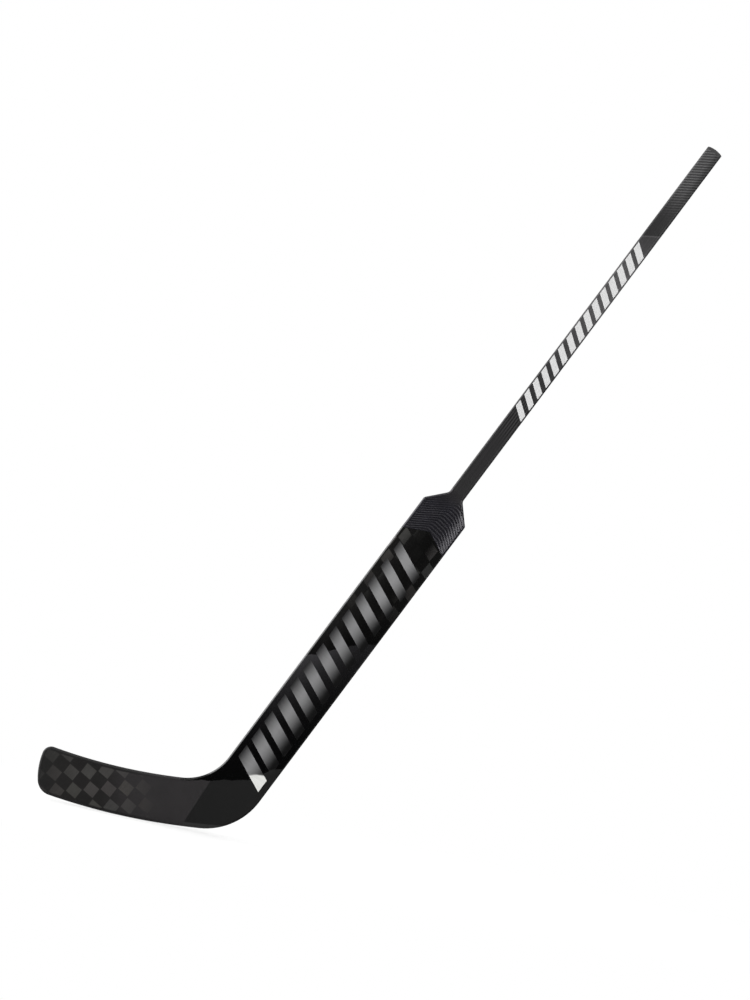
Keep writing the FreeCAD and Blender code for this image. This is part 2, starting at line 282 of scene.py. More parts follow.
class Wiring:
    """The nodes of a material or of the world, with short calls for what they share."""

    MIX_COLOURS = (6, 7)
    MIX_COLOUR = 2
    MIX_NUMBERS = (2, 3)

    def __init__(self, tree: bpy.types.NodeTree, coordinates: str) -> None:
        """Takes up a node tree.

        Args:
            tree: the nodes to work on.
            coordinates: Blender's name for the coordinates that places are read from.
        """
        self.nodes = tree.nodes
        self.links = tree.links
        self.point = self.add("ShaderNodeTexCoord").outputs[coordinates]

    def add(self, kind: str, *feeds: Feed, **settings: Any) -> bpy.types.Node:
        """Adds a node.

        Args:
            kind: Blender's name for the node's type.
            feeds: its inputs, by number or name, each with a socket, a number or a colour.
            settings: attributes of the node.

        Returns:
            The new node.
        """
        node = self.nodes.new(kind)
        for key, value in settings.items():
            setattr(node, key, value)
        for key, value in feeds:
            self.feed(node.inputs[key], value)
        return node

    def feed(self, socket: Socket, value: Any) -> None:
        """Links a socket to another, or sets its value.

        Args:
            socket: the input to feed.
            value: an output socket, a number or a colour.
        """
        if isinstance(value, bpy.types.NodeSocket):
            self.links.new(value, socket)
        else:
            socket.default_value = value

    def math(self, operation: str, first: Number, second: Number = 0.0) -> Socket:
        """Returns a sum of one or two values, by Blender's name for it."""
        return self.add("ShaderNodeMath", (0, first), (1, second), operation=operation).outputs[0]

    def times(self, *factors: Number) -> Socket:
        """Returns the product of two or more values."""
        return reduce(partial(self.math, "MULTIPLY"), factors)

    def vector(self, operation: str, first: Any, second: Any) -> bpy.types.Node:
        """Adds a vector math node for two vectors or colours."""
        return self.add("ShaderNodeVectorMath", (0, first), (1, second), operation=operation)

    def reach(self, direction: Vector) -> Socket:
        """Returns how far a point of the surface lies along a direction."""
        return self.vector("DOT_PRODUCT", self.point, direction).outputs["Value"]

    def distance(self, centre: Vector) -> Socket:
        """Returns how far a point of the surface lies from a centre."""
        return self.vector("DISTANCE", self.point, centre).outputs["Value"]

    def product(self, first: Any, second: Any) -> Socket:
        """Returns two colours multiplied channel by channel."""
        return self.vector("MULTIPLY", first, second).outputs[0]

    def tint(self, colour: Any, strength: Number) -> Socket:
        """Returns a colour multiplied by a strength."""
        feeds = ((0, colour), ("Scale", strength))
        return self.add("ShaderNodeVectorMath", *feeds, operation="SCALE").outputs[0]

    def step(self, value: Number, low: float, high: float, start: Number = 0.0, end: Number = 1.0) -> Socket:
        """Returns a value that goes smoothly from a start to an end between two limits."""
        feeds = enumerate((value, low, high, start, end))
        return self.add("ShaderNodeMapRange", *feeds, interpolation_type="SMOOTHSTEP").outputs["Result"]

    def mix(self, share: Number, first: Any, second: Any) -> Socket:
        """Mixes two colours.

        Args:
            share: 0 for the first, 1 for the second.
            first: a colour or a socket.
            second: a colour or a socket.

        Returns:
            The mixed colour.
        """
        ends = [end if isinstance(end, bpy.types.NodeSocket) else (*end, 1.0) for end in (first, second)]
        feeds = (("Factor", share), *zip(self.MIX_COLOURS, ends))
        return self.add("ShaderNodeMix", *feeds, data_type="RGBA").outputs[self.MIX_COLOUR]

    def noise(self, place: Socket, scale: float, detail: float) -> Socket:
        """Returns noise from 0 to 1, with a scale of grains in each length and layers of detail."""
        feeds = (("Vector", place), ("Scale", scale), ("Detail", detail))
        return self.add("ShaderNodeTexNoise", *feeds).outputs["Fac"]

    def speckle(self, scale: float, detail: float = 3.0) -> Socket:
        """Returns noise with the same number of grains in a metre all ways."""
        return self.noise(self.point, scale, detail)

    def grain(self, scales: Sequence[tuple[Vector, float]], detail: float = 3.0) -> Socket:
        """Adds noise whose grain has its own size along each direction.

        Args:
            scales: three directions, each with the grains in a metre.
            detail: how many finer layers the noise has.

        Returns:
            The noise, from 0 to 1.
        """
        places = [self.times(self.reach(direction), scale) for direction, scale in scales]
        joined = self.add("ShaderNodeCombineXYZ", *enumerate(places))
        return self.noise(joined.outputs[0], 1.0, detail)

    def rays(self, *kinds: str) -> Socket:
        """Returns 1 for rays of some kinds, by Blender's names for them, and 0 for the others."""
        path = self.add("ShaderNodeLightPath")
        return reduce(partial(self.math, "MAXIMUM"), [path.outputs[kind] for kind in kinds])


class Sheet(Wiring):
    """A node material in the making."""

    def __init__(self, name: str) -> None:
        """Starts a material with a plain principled shader.

        Args:
            name: the material's name.
        """
        self.material = bpy.data.materials.new(name)
        self.material.use_nodes = True
        super().__init__(self.material.node_tree, "Object")
        self.shader = self.nodes["Principled BSDF"]

    def set(self, name: str, value: Any) -> None:
        """Feeds an input of the shader by its name."""
        self.feed(self.shader.inputs[name], value)

    def streaks(self, bearings: Bearings, counts: Triple) -> Socket:
        """Returns streaks, by their grains in a metre across, through and along the stick."""
        ways = (bearings.right, DEPTH_AXIS, bearings.axis)
        return self.grain(tuple(zip(ways, counts)))

    def finish(
        self, colour: Any, roughness: Number, specular: float, height: Socket, relief: Relief
    ) -> bpy.types.Material:
        """Feeds the shader.

        Args:
            colour: the surface's colour.
            roughness: how dull it is.
            specular: how much it mirrors.
            height: its relief, from 0 to 1.
            relief: how tall the relief is and how much it shows.

        Returns:
            The finished material.
        """
        feeds = (("Height", height), ("Distance", relief.size), ("Strength", relief.strength))
        bump = self.add("ShaderNodeBump", *feeds)
        self.set("Base Color", colour)
        self.set("Roughness", roughness)
        self.set("Specular IOR Level", specular)
        self.set("Normal", bump.outputs["Normal"])
        return self.material


@dataclass(frozen=True)
class SpreadTow:
    """A weave of flat carbon tows, laid so that its square cells stand on their corners.

    Attributes:
        bearings: the stick's directions.
        origin: the middle of one dark cell.
        turn: how far the rows of cells rise to the right, in radians.
        lean: how far the columns move right for each length down.
        diagonal: width of a cell from corner to corner.
        stretch: height of a cell as a share of its width.
        seam: share of a cell that the line between two tows takes.
        seam_run: the part of that line over which the light cells end.
        fibres: fibre streaks in a metre, across a tow.
        fibre_run: how much longer a streak is than wide.
        fibre_detail: how many finer layers the streaks have.
        tint: how much the cells differ in colour.
    """

    bearings: Bearings
    origin: Vector
    turn: float = math.radians(2.6)
    lean: float = 0.09
    diagonal: float = 0.0304
    stretch: float = 1.04
    seam: float = 0.04
    seam_run: Span = (0.5, 1.5)
    fibres: float = 1400.0
    fibre_run: float = 50.0
    fibre_detail: float = 2.0
    tint: float = 0.07

    def lay(self, sheet: Sheet) -> tuple[Socket, Socket, Socket, Socket]:
        """Lays the weave on a material.

        Args:
            sheet: the material.

        Returns:
            The light cells (1 on them), the line between tows (0 on it), the fibre streaks, and a tint
            that differs a little from cell to cell.
        """
        turned = Matrix.Rotation(-self.turn, 3, DEPTH_AXIS)
        level_way, rise_way = turned @ self.bearings.level, turned @ self.bearings.rise
        level = self.cell_place(sheet, level_way + rise_way * self.lean)
        rise = self.cell_place(sheet, rise_way / self.stretch)
        places = [sheet.math("ADD", level, rise), sheet.math("SUBTRACT", rise, level)]
        places = [sheet.math("ADD", place, HALF_CELL) for place in places]
        cell = [sheet.math("FLOOR", place) for place in places]
        on_top = sheet.math("FLOORED_MODULO", sheet.math("ADD", *cell), 2.0)
        number = sheet.add("ShaderNodeCombineXYZ", *enumerate(cell))
        chance = sheet.add("ShaderNodeTexWhiteNoise", ("Vector", number.outputs[0]))
        tint = sheet.mix(self.tint, WHITE, chance.outputs["Color"])
        edge = sheet.math("MINIMUM", *(sheet.math("PINGPONG", place, HALF_CELL) for place in places))
        line = sheet.step(edge, 0.0, self.seam)
        light = sheet.times(on_top, sheet.step(edge, *(self.seam * share for share in self.seam_run)))
        ways = [(level_way + rise_way).normalized(), (rise_way - level_way).normalized()]
        counts = (self.fibres, self.fibres / self.fibre_run, 1.0)
        streaks = [
            sheet.grain(tuple(zip((*pair, DEPTH_AXIS), counts)), self.fibre_detail)
            for pair in (ways, ways[::-1])
        ]
        fibre = sheet.add("ShaderNodeMix", (0, on_top), *zip(sheet.MIX_NUMBERS, streaks))
        return light, line, fibre.outputs[0], tint

    def cell_place(self, sheet: Sheet, direction: Vector) -> Socket:
        """Returns the place along a vector in cell diagonals, counted from the weave's origin."""
        offset = sheet.math("SUBTRACT", sheet.reach(direction), self.origin.dot(direction))
        return sheet.math("DIVIDE", offset, self.diagonal)


@dataclass(frozen=True)
class BarRow:
    """A row of slanted bars whose widths change step by step, as the mask of a printed mark.

    Attributes:
        start: where the row starts, along the axis.
        pitch: from one bar to the next.
        count: how many bars there are.
        shares: share of the pitch that the first and the last bar take.
        slant: how far a bar drops along the axis for each length to the right.
        half_span: how far the bars reach to each side of the axis.
    """

    start: float
    pitch: float
    count: int
    shares: Span
    slant: float
    half_span: float

    def mask(self, sheet: Sheet, along: Socket, across: Socket) -> Socket:
        """Draws the bars on a material.

        Args:
            sheet: the material.
            along: the place along the axis.
            across: the place across it.

        Returns:
            1 on a bar and 0 beside it.
        """
        slid = sheet.math("ADD", along, sheet.times(across, self.slant))
        count = sheet.math("DIVIDE", sheet.math("SUBTRACT", slid, self.start), self.pitch)
        feeds = enumerate((sheet.math("FLOOR", count), 0.0, self.count - 1.0, *self.shares))
        share = sheet.add("ShaderNodeMapRange", *feeds).outputs["Result"]
        on_bar = sheet.math("LESS_THAN", sheet.math("FRACT", count), share)
        started = sheet.math("GREATER_THAN", count, 0.0)
        not_over = sheet.math("LESS_THAN", count, float(self.count))
        in_span = sheet.math("LESS_THAN", sheet.math("ABSOLUTE", across), self.half_span)
        return sheet.times(on_bar, started, not_over, in_span)


@dataclass(frozen=True)
class Border:
    """A strip of even width along an arc of the outline.

    Attributes:
        centre: the arc's centre.
        radius: the arc's radius.
        width: the strip's width.
        soft: over what width the strip ends.
        outer: whether the stick lies outside the arc.
    """

    centre: Vector
    radius: float
    width: float
    soft: float
    outer: bool = False

    def mask(self, sheet: Sheet) -> Socket:
        """Draws the strip on a material.

        Args:
            sheet: the material.

        Returns:
            1 on the strip and 0 inside it.
        """
        ends = (self.radius, sheet.distance(self.centre))
        if self.outer:
            ends = ends[::-1]
        inside = sheet.math("SUBTRACT", *ends)
        return sheet.step(inside, self.width - self.soft, self.width, 1.0, 0.0)


@dataclass(frozen=True)
class Sole:
    """The rounded sole of heel and blade, an arc.

    Attributes:
        radius: the arc's radius.
        low_place: from the toe to the sole's low point, level.
    """

    radius: float = 1.23375
    low_place: float = 0.1677

    def border(self, width: float, soft: float) -> Border:
        """Lays a strip along the sole.

        Args:
            width: the strip's width.
            soft: over what width it ends.

        Returns:
            The strip.
        """
        low, _ = cad_box
        centre = Vector((low.x + self.low_place, 0.0, low.z + self.radius))
        return Border(centre, self.radius, width, soft)


@dataclass(frozen=True)
class HeelLine:
    """The uneven line, level in the picture, where the matte heel ends and the black lacquer starts.

    Attributes:
        bearings: the stick's directions.
        rise: the line's place along the rise direction.
        sway: how far the line strays from there.
        waves: waves in a metre.
        detail: how many finer layers the waves have.
        soft: half the width over which the finish changes.
        lift: how much higher the line is at the paddle's right edge.
        lift_run: where across the paddle it climbs.
    """

    bearings: Bearings
    rise: float = -0.5241
    sway: float = 0.008
    waves: float = 45.0
    detail: float = 2.0
    soft: float = 0.0012
    lift: float = 0.019
    lift_run: Span = (0.006, 0.032)

    def ripple(self, sheet: Sheet) -> Socket:
        """Returns the line's waves, from 0 to 1."""
        return sheet.speckle(self.waves, self.detail)

    def uneven(self, sheet: Sheet) -> Socket:
        """Returns the place along the rise direction, as uneven as the line."""
        sway = sheet.times(sheet.math("SUBTRACT", self.ripple(sheet), 0.5), self.sway)
        return sheet.math("ADD", sheet.reach(self.bearings.rise), sway)

    def over(self, sheet: Sheet, uneven: Socket) -> Socket:
        """Finds the lacquer.

        Args:
            sheet: the material.
            uneven: the place along the rise direction, as uneven as the line.

        Returns:
            1 over the line and 0 under it.
        """
        across = sheet.reach(self.bearings.right)
        line = sheet.step(across, *self.lift_run, self.rise, self.rise + self.lift)
        return sheet.step(sheet.math("SUBTRACT", uneven, line), -self.soft, self.soft)


@dataclass(frozen=True)
class ShaftSatin:
    """Satin laminate of the shaft, with fibres along it and a row of light bars.

    Attributes:
        bearings: the stick's directions.
        bars: the printed bars.
        ridges: the ridges under the butt.
        tape_line: where a thin line crosses the shaft.
        bare_tow: the stretch under the bars where single tows show.
        tow_pitch: from tow to tow there.
        tow_tone: shade of a tow, from its sides to its middle.
        pale: how much lighter the laminate gets between the bars.
        pale_share: share of the row after which it is lightest.
        pale_left: what is left of that at the line.
        above_line: its shade above the line.
        line_tone: shade of the line, from its middle to its sides.
        crest_tone: how much of the ridges' colour shows, from their foot to their crest.
        ridge_painted_shade: painted shade on the ridges' right ends.
        painted_shade_run: where across the shaft the painted shade on the ridges gets darker.
        streaks: grains of fibre in a metre, across, through and along the shaft.
        streak_tone: shade of the fibres.
        streak_dull: roughness of the fibres.
        streak_relief: height of the fibres.
        ink_grain: grains of the print in a metre.
        ink_tone: shade of the print.
        fibre: colour of the laminate.
        ridge: colour of the ridges.
        print_light: colour of the bars.
        specular: how much the laminate mirrors.
    """

    bearings: Bearings
    bars: BarRow
    ridges: "Ridges"
    tape_line: float
    bare_tow: Span
    tow_pitch: float = 0.0046
    tow_tone: Ramp = Ramp(-0.8, 0.9, 0.45, 1.7)
    pale: float = 3.8
    pale_share: float = 0.82
    pale_left: float = 0.46
    above_line: float = 0.93
    line_tone: Ramp = Ramp(0.0008, 0.0019, 2.1, 1.0)
    crest_tone: Ramp = Ramp(-0.2, 1.0, 0.2, 1.0)
    ridge_painted_shade: float = 0.44
    painted_shade_run: Span = (0.001, 0.011)
    streaks: Triple = (900.0, 900.0, 6.0)
    streak_tone: Ramp = Ramp(0.3, 0.7, 0.78, 1.25)
    streak_dull: Ramp = Ramp(0.2, 0.8, 0.36, 0.5)
    streak_relief: Relief = Relief(0.00004, 0.5)
    ink_grain: float = 700.0
    ink_tone: Ramp = Ramp(0.2, 0.8, 0.94, 1.04)
    fibre: Colour = (0.0195, 0.0188, 0.0195)
    ridge: Colour = (0.113, 0.112, 0.114)
    print_light: Colour = (0.645, 0.645, 0.645)
    specular: float = 0.26

    def make(self) -> bpy.types.Material:
        """Returns the finish as a material."""
        sheet = Sheet("shaft_satin_laminate")
        along = sheet.reach(self.bearings.axis)
        across = sheet.reach(self.bearings.right)
        streak = sheet.streaks(self.bearings, self.streaks)
        colour = sheet.tint(self.fibre, sheet.step(streak, *self.streak_tone))
        tow = sheet.math("COSINE", sheet.times(across, math.tau / self.tow_pitch))
        under_bars = sheet.math("LESS_THAN", along, self.bars.start + self.bars.pitch)
        shown = sheet.times(sheet.step(along, *self.bare_tow), under_bars)
        colour = sheet.mix(shown, colour, sheet.tint(colour, sheet.step(tow, *self.tow_tone)))
        slid = sheet.math("SUBTRACT", along, sheet.times(across, self.ridges.slope))
        colour = sheet.tint(colour, self.paleness(sheet, along, slid))
        gap = sheet.math("ABSOLUTE", sheet.math("SUBTRACT", slid, self.tape_line))
        colour = sheet.tint(colour, sheet.step(gap, *self.line_tone))
        wave = sheet.math("COSINE", sheet.times(slid, math.tau / self.ridges.pitch))
        crest = sheet.times(sheet.step(wave, *self.crest_tone), sheet.step(along, *self.ridges.growth))
        colour = sheet.mix(crest, colour, self.ridge)
        # Painted shade: the ridged stretch gets darker towards the shaft's right side.
        dim = sheet.step(along, *self.ridges.growth, 1.0, self.ridge_painted_shade)
        colour = sheet.tint(colour, sheet.step(across, *self.painted_shade_run, 1.0, dim))
        ink = sheet.tint(self.print_light, sheet.step(sheet.speckle(self.ink_grain), *self.ink_tone))
        colour = sheet.mix(self.bars.mask(sheet, along, across), colour, ink)
        dull = sheet.step(streak, *self.streak_dull)
        return sheet.finish(colour, dull, self.specular, streak, self.streak_relief)

    def paleness(self, sheet: Sheet, along: Socket, slid: Socket) -> Socket:
        """Gives the shade of the laminate, which gets lighter up the row of bars.

        Args:
            sheet: the material.
            along: the place along the axis.
            slid: the same along the ridges' slant.

        Returns:
            What the colour is multiplied by.
        """
        start = self.bars.start + self.bars.pitch
        peak = self.bars.start + self.bars.pitch * self.bars.count * self.pale_share
        rise = sheet.step(along, start, peak, 1.0, self.pale)
        fall = sheet.step(along, peak, self.tape_line, 1.0, self.pale_left)
        shade = sheet.times(rise, fall)
        above = sheet.math("GREATER_THAN", slid, self.tape_line)
        change = sheet.math("SUBTRACT", self.above_line, shade)
        return sheet.math("ADD", shade, sheet.times(above, change))


@dataclass(frozen=True)
class RubberSatin:
    """Moulded rubber of the plug in the shaft's end.

    Attributes:
        grain: grains of its mottle in a metre.
        tone: shade of the mottle.
        dull: roughness of the mottle.
        relief: height of the mottle.
        colour: colour of the rubber.
        specular: how much it mirrors.
    """

    grain: float = 2200.0
    tone: Ramp = Ramp(0.2, 0.8, 0.8, 1.2)
    dull: Ramp = Ramp(0.2, 0.8, 0.5, 0.62)
    relief: Relief = Relief(0.0001, 0.4)
    colour: Colour = (0.046, 0.0455, 0.046)
    specular: float = 0.25

    def make(self) -> bpy.types.Material:
        """Returns the finish as a material."""
        sheet = Sheet("plug_satin_rubber")
        mottle = sheet.speckle(self.grain)
        colour = sheet.tint(self.colour, sheet.step(mottle, *self.tone))
        return sheet.finish(colour, sheet.step(mottle, *self.dull), self.specular, mottle, self.relief)


@dataclass(frozen=True)
class RibbedGrip:
    """Satin moulding of the ribbed shoulder, a little lighter at the neck and duller at its edges.

    Attributes:
        bearings: the stick's directions.
        neck: the stretch along the axis over which it gets lighter.
        cloud: clouds in a metre.
        cloud_tone: shade of the clouds.
        pores: pores in a metre.
        pore_dull: roughness of the pores.
        pore_relief: height of the pores.
        edge_dull: roughness of the rounded edges, by the distance from the parting line.
        colour: colour of the moulding.
        neck_colour: its colour at the neck.
        sheen: colour of what it mirrors.
        specular: how much it mirrors.
    """

    bearings: Bearings
    neck: Span
    cloud: float = 60.0
    cloud_tone: Ramp = Ramp(0.3, 0.7, 0.85, 1.15)
    pores: float = 2600.0
    pore_dull: Ramp = Ramp(0.2, 0.8, 0.34, 0.43)
    pore_relief: Relief = Relief(0.00008, 0.12)
    edge_dull: Ramp = Ramp(0.0075, 0.0092, 0.66, 0.0)
    colour: Colour = (0.0054, 0.0051, 0.0086)
    neck_colour: Colour = (0.0150, 0.0138, 0.0144)
    sheen: Colour = (0.97, 0.95, 1.0)
    specular: float = 0.54

    def make(self) -> bpy.types.Material:
        """Returns the finish as a material."""
        sheet = Sheet("shoulder_ribbed_satin")
        pores = sheet.speckle(self.pores)
        to_neck = sheet.step(sheet.reach(self.bearings.axis), *self.neck)
        colour = sheet.mix(to_neck, self.colour, self.neck_colour)
        colour = sheet.tint(colour, sheet.step(sheet.speckle(self.cloud), *self.cloud_tone))
        depth = sheet.math("ABSOLUTE", sheet.reach(DEPTH_AXIS))
        dull = [sheet.step(pores, *self.pore_dull), sheet.step(depth, *self.edge_dull)]
        sheet.set("Specular Tint", (*self.sheen, 1.0))
        return sheet.finish(colour, sheet.math("MAXIMUM", *dull), self.specular, pores, self.pore_relief)


@dataclass(frozen=True)
class PaddleGloss:
    """Clear lacquer over black laminate, matte at the heel, with a row of silver bars that fade to black.

    Places across the paddle are shares of half its width, unless they are said to be in metres.

    Attributes:
        bearings: the stick's directions.
        weave: the carbon weave that shows under the lacquer towards the shoulder.
        bars: the printed bars.
        heel_line: where the matte heel ends.
        sole_strip: the strip along the sole.
        half_width: half the paddle's width.
        upper: the stretch along the axis over which the bars change towards the shoulder.
        weave_in: the stretch over which the weave comes.
        weave_side_light: shade of the weave from left to right, painted light that makes its left side
            lighter.
        weave_edge: how much of the weave shows, from the axis outwards.
        fibre_tone: shade of the weave's fibres.
        laminate_side_light: shade of the plain laminate from left to right, painted light that makes its left
            side lighter.
        reflection_sides: shade of the painted grey reflection from left to right, lighter on the left.
        dust_grain: grains of dust in the grey lacquer in a metre.
        dust_tone: shade of the dust.
        reflection_power: how late the lacquer turns from black to the painted grey reflection on its way up.
        band_rise: where the painted grey reflection ends and the darker upper lacquer starts at the left
            edge, along the rise direction.
        band_lift: how much higher it starts at the right edge.
        band_run: where across the paddle its start climbs, in metres.
        band_tone: shade of the upper lacquer above its start.
        band_soft: over what height it starts.
        highlight_rise: from the heel's line up to where the bars turn white under a painted highlight.
        highlight_soft: half the width over which they do.
        lit_run: where across the paddle the bars get lighter.
        dark_run: where they get darker again.
        dark_left: what is left of their colour there.
        dark_shift: how much further right that is near the shoulder, in metres.
        upper_lift: how much lighter the bars are there.
        brushing: grains of the bars' brushing in a metre, across, through and along the paddle.
        brush_tone: shade of the brushing.
        heel_grain: grains of the heel in a metre.
        heel_tone: shade of the heel's grain.
        dull: roughness of the heel and of the lacquer.
        print_dull: how much duller the bars are.
        relief: height of the lacquer's waves.
        black: colour of the lacquer towards the heel.
        laminate: colour of the plain laminate.
        dark_tow: colour of the weave's dark cells.
        light_tow: colour of its light cells.
        reflection_grey: colour of the painted reflection on the lacquer under the upper part.
        heel: colour of the heel.
        strip: colour of the strip along the sole.
        silver: colour of the bars.
        heel_highlight: their colour by the heel, a painted highlight.
        specular: how much the lacquer mirrors.
    """

    bearings: Bearings
    weave: SpreadTow
    bars: BarRow
    heel_line: HeelLine
    sole_strip: Border
    half_width: float
    upper: Span
    weave_in: Span
    weave_side_light: Ramp = Ramp(-1.0, 1.0, 2.15, 1.35)
    weave_edge: Ramp = Ramp(0.30, 0.75, 0.05, 1.0)
    fibre_tone: Ramp = Ramp(0.3, 0.7, 0.85, 1.15)
    laminate_side_light: Ramp = Ramp(-1.0, 0.2, 1.5, 0.5)
    reflection_sides: Ramp = Ramp(-1.0, 0.7, 1.0, 0.28)
    dust_grain: float = 1500.0
    dust_tone: Ramp = Ramp(0.3, 0.75, 0.7, 1.35)
    reflection_power: float = 2.8
    band_rise: float = -0.3070
    band_lift: float = 0.017
    band_run: Span = (-0.045, 0.022)
    band_tone: Ramp = Ramp(0.0, 0.06, 0.45, 1.0)
    band_soft: Span = (-0.001, 0.001)
    highlight_rise: float = 0.0078
    highlight_soft: float = 0.002
    lit_run: Span = (-0.86, -0.12)
    dark_run: Span = (-0.18, 0.60)
    dark_left: float = 0.02
    dark_shift: float = 0.007
    upper_lift: float = 1.16
    brushing: Triple = (25.0, 1.0, 1300.0)
    brush_tone: Ramp = Ramp(0.25, 0.75, 0.9, 1.1)
    heel_grain: float = 1800.0
    heel_tone: Ramp = Ramp(0.25, 0.75, 0.88, 1.12)
    dull: Ramp = Ramp(0.0, 1.0, 0.5, 0.14)
    print_dull: float = 0.14
    relief: Relief = Relief(0.00025, 0.25)
    black: Colour = (0.0008, 0.0008, 0.0009)
    laminate: Colour = (0.0062, 0.0061, 0.0059)
    dark_tow: Colour = (0.0036, 0.0035, 0.0034)
    light_tow: Colour = (0.0232, 0.0228, 0.0217)
    reflection_grey: Colour = (0.0368, 0.0359, 0.0384)
    heel: Colour = (0.0037, 0.0037, 0.0037)
    strip: Colour = (0.019, 0.019, 0.019)
    silver: Colour = (0.208, 0.208, 0.211)
    heel_highlight: Colour = (0.66, 0.66, 0.64)
    specular: float = 0.5

    def make(self) -> bpy.types.Material:
        """Returns the finish as a material."""
        sheet = Sheet("paddle_black_lacquer")
        along = sheet.reach(self.bearings.axis)
        across = sheet.reach(self.bearings.right)
        uneven = self.heel_line.uneven(sheet)
        lacquered = self.heel_line.over(sheet, uneven)
        heel = sheet.tint(self.heel, sheet.step(sheet.speckle(self.heel_grain), *self.heel_tone))
        heel = sheet.mix(self.sole_strip.mask(sheet), heel, self.strip)
        colour = sheet.mix(lacquered, heel, self.lacquer(sheet, along, across, uneven))
        printed = self.bars.mask(sheet, along, across)
        colour = sheet.mix(printed, colour, self.foil(sheet, along, across, uneven))
        dull = sheet.math("ADD", sheet.step(lacquered, *self.dull), sheet.times(printed, self.print_dull))
        return sheet.finish(colour, dull, self.specular, self.heel_line.ripple(sheet), self.relief)

    def lacquer(self, sheet: Sheet, along: Socket, across: Socket, uneven: Socket) -> Socket:
        """Colours the lacquer: weave towards the shoulder, a painted grey reflection below it, black towards
        the heel.

        Args:
            sheet: the material.
            along: the place along the axis.
            across: the place across it.
            uneven: the place along the rise direction, a little uneven.

        Returns:
            The colour.
        """
        side = sheet.math("DIVIDE", across, self.half_width)
        light, _, fibre, tint = self.weave.lay(sheet)
        woven = sheet.product(sheet.mix(light, self.dark_tow, self.light_tow), tint)
        # Painted light: the weave and the plain laminate are lighter on the left side.
        tone = sheet.times(sheet.step(side, *self.weave_side_light), sheet.step(fibre, *self.fibre_tone))
        outward = sheet.step(sheet.math("ABSOLUTE", side), *self.weave_edge)
        shown = sheet.times(outward, sheet.step(along, *self.weave_in))
        plain = sheet.tint(self.laminate, sheet.step(side, *self.laminate_side_light))
        upper = sheet.mix(shown, plain, sheet.tint(woven, tone))
        # Painted reflection: the lacquer below the upper part turns from black to grey on its way up, lighter
        # on the left.
        dust = sheet.step(sheet.speckle(self.dust_grain), *self.dust_tone)
        lower = sheet.tint(self.reflection_grey, sheet.times(dust, sheet.step(side, *self.reflection_sides)))
        height = self.band_rise + self.band_lift / 2.0 - self.heel_line.rise
        climb = sheet.math("DIVIDE", sheet.math("SUBTRACT", uneven, self.heel_line.rise), height)
        reflection_share = sheet.math("POWER", sheet.math("MAXIMUM", climb, 0.0), self.reflection_power)
        lower = sheet.mix(reflection_share, self.black, lower)
        band = sheet.step(across, *self.band_run, self.band_rise, self.band_rise + self.band_lift)
        from_band = sheet.math("SUBTRACT", uneven, band)
        upper = sheet.tint(upper, sheet.step(from_band, *self.band_tone))
        return sheet.mix(sheet.step(from_band, *self.band_soft), lower, upper)

    def foil(self, sheet: Sheet, along: Socket, across: Socket, uneven: Socket) -> Socket:
        """Colours the printed bars: silver left of the axis, black at their ends, and white by the heel under
        a painted highlight.

        Args:
            sheet: the material.
            along: the place along the axis.
            across: the place across it.
            uneven: the place along the rise direction, a little uneven.

        Returns:
            The colour.
        """
        brushed = sheet.streaks(self.bearings, self.brushing)
        # Painted highlight: the bars turn white below an uneven line by the heel.
        highlight_line = self.heel_line.rise + self.highlight_rise
        highlit_near_heel = sheet.step(uneven, highlight_line - self.highlight_soft, highlight_line + self.highlight_soft, 1.0, 0.0)
        colour = sheet.mix(highlit_near_heel, self.silver, self.heel_highlight)
        lit = sheet.step(sheet.math("DIVIDE", across, self.half_width), *self.lit_run)
        shift = sheet.step(along, *self.upper, 0.0, self.dark_shift)
        shifted = sheet.math("DIVIDE", sheet.math("SUBTRACT", across, shift), self.half_width)
        fade = sheet.step(shifted, *self.dark_run, 1.0, self.dark_left)
        lit = sheet.math("MAXIMUM", sheet.times(lit, fade), highlit_near_heel)
        lift = sheet.step(along, *self.upper, 1.0, self.upper_lift)
        return sheet.tint(colour, sheet.times(lit, sheet.step(brushed, *self.brush_tone), lift))


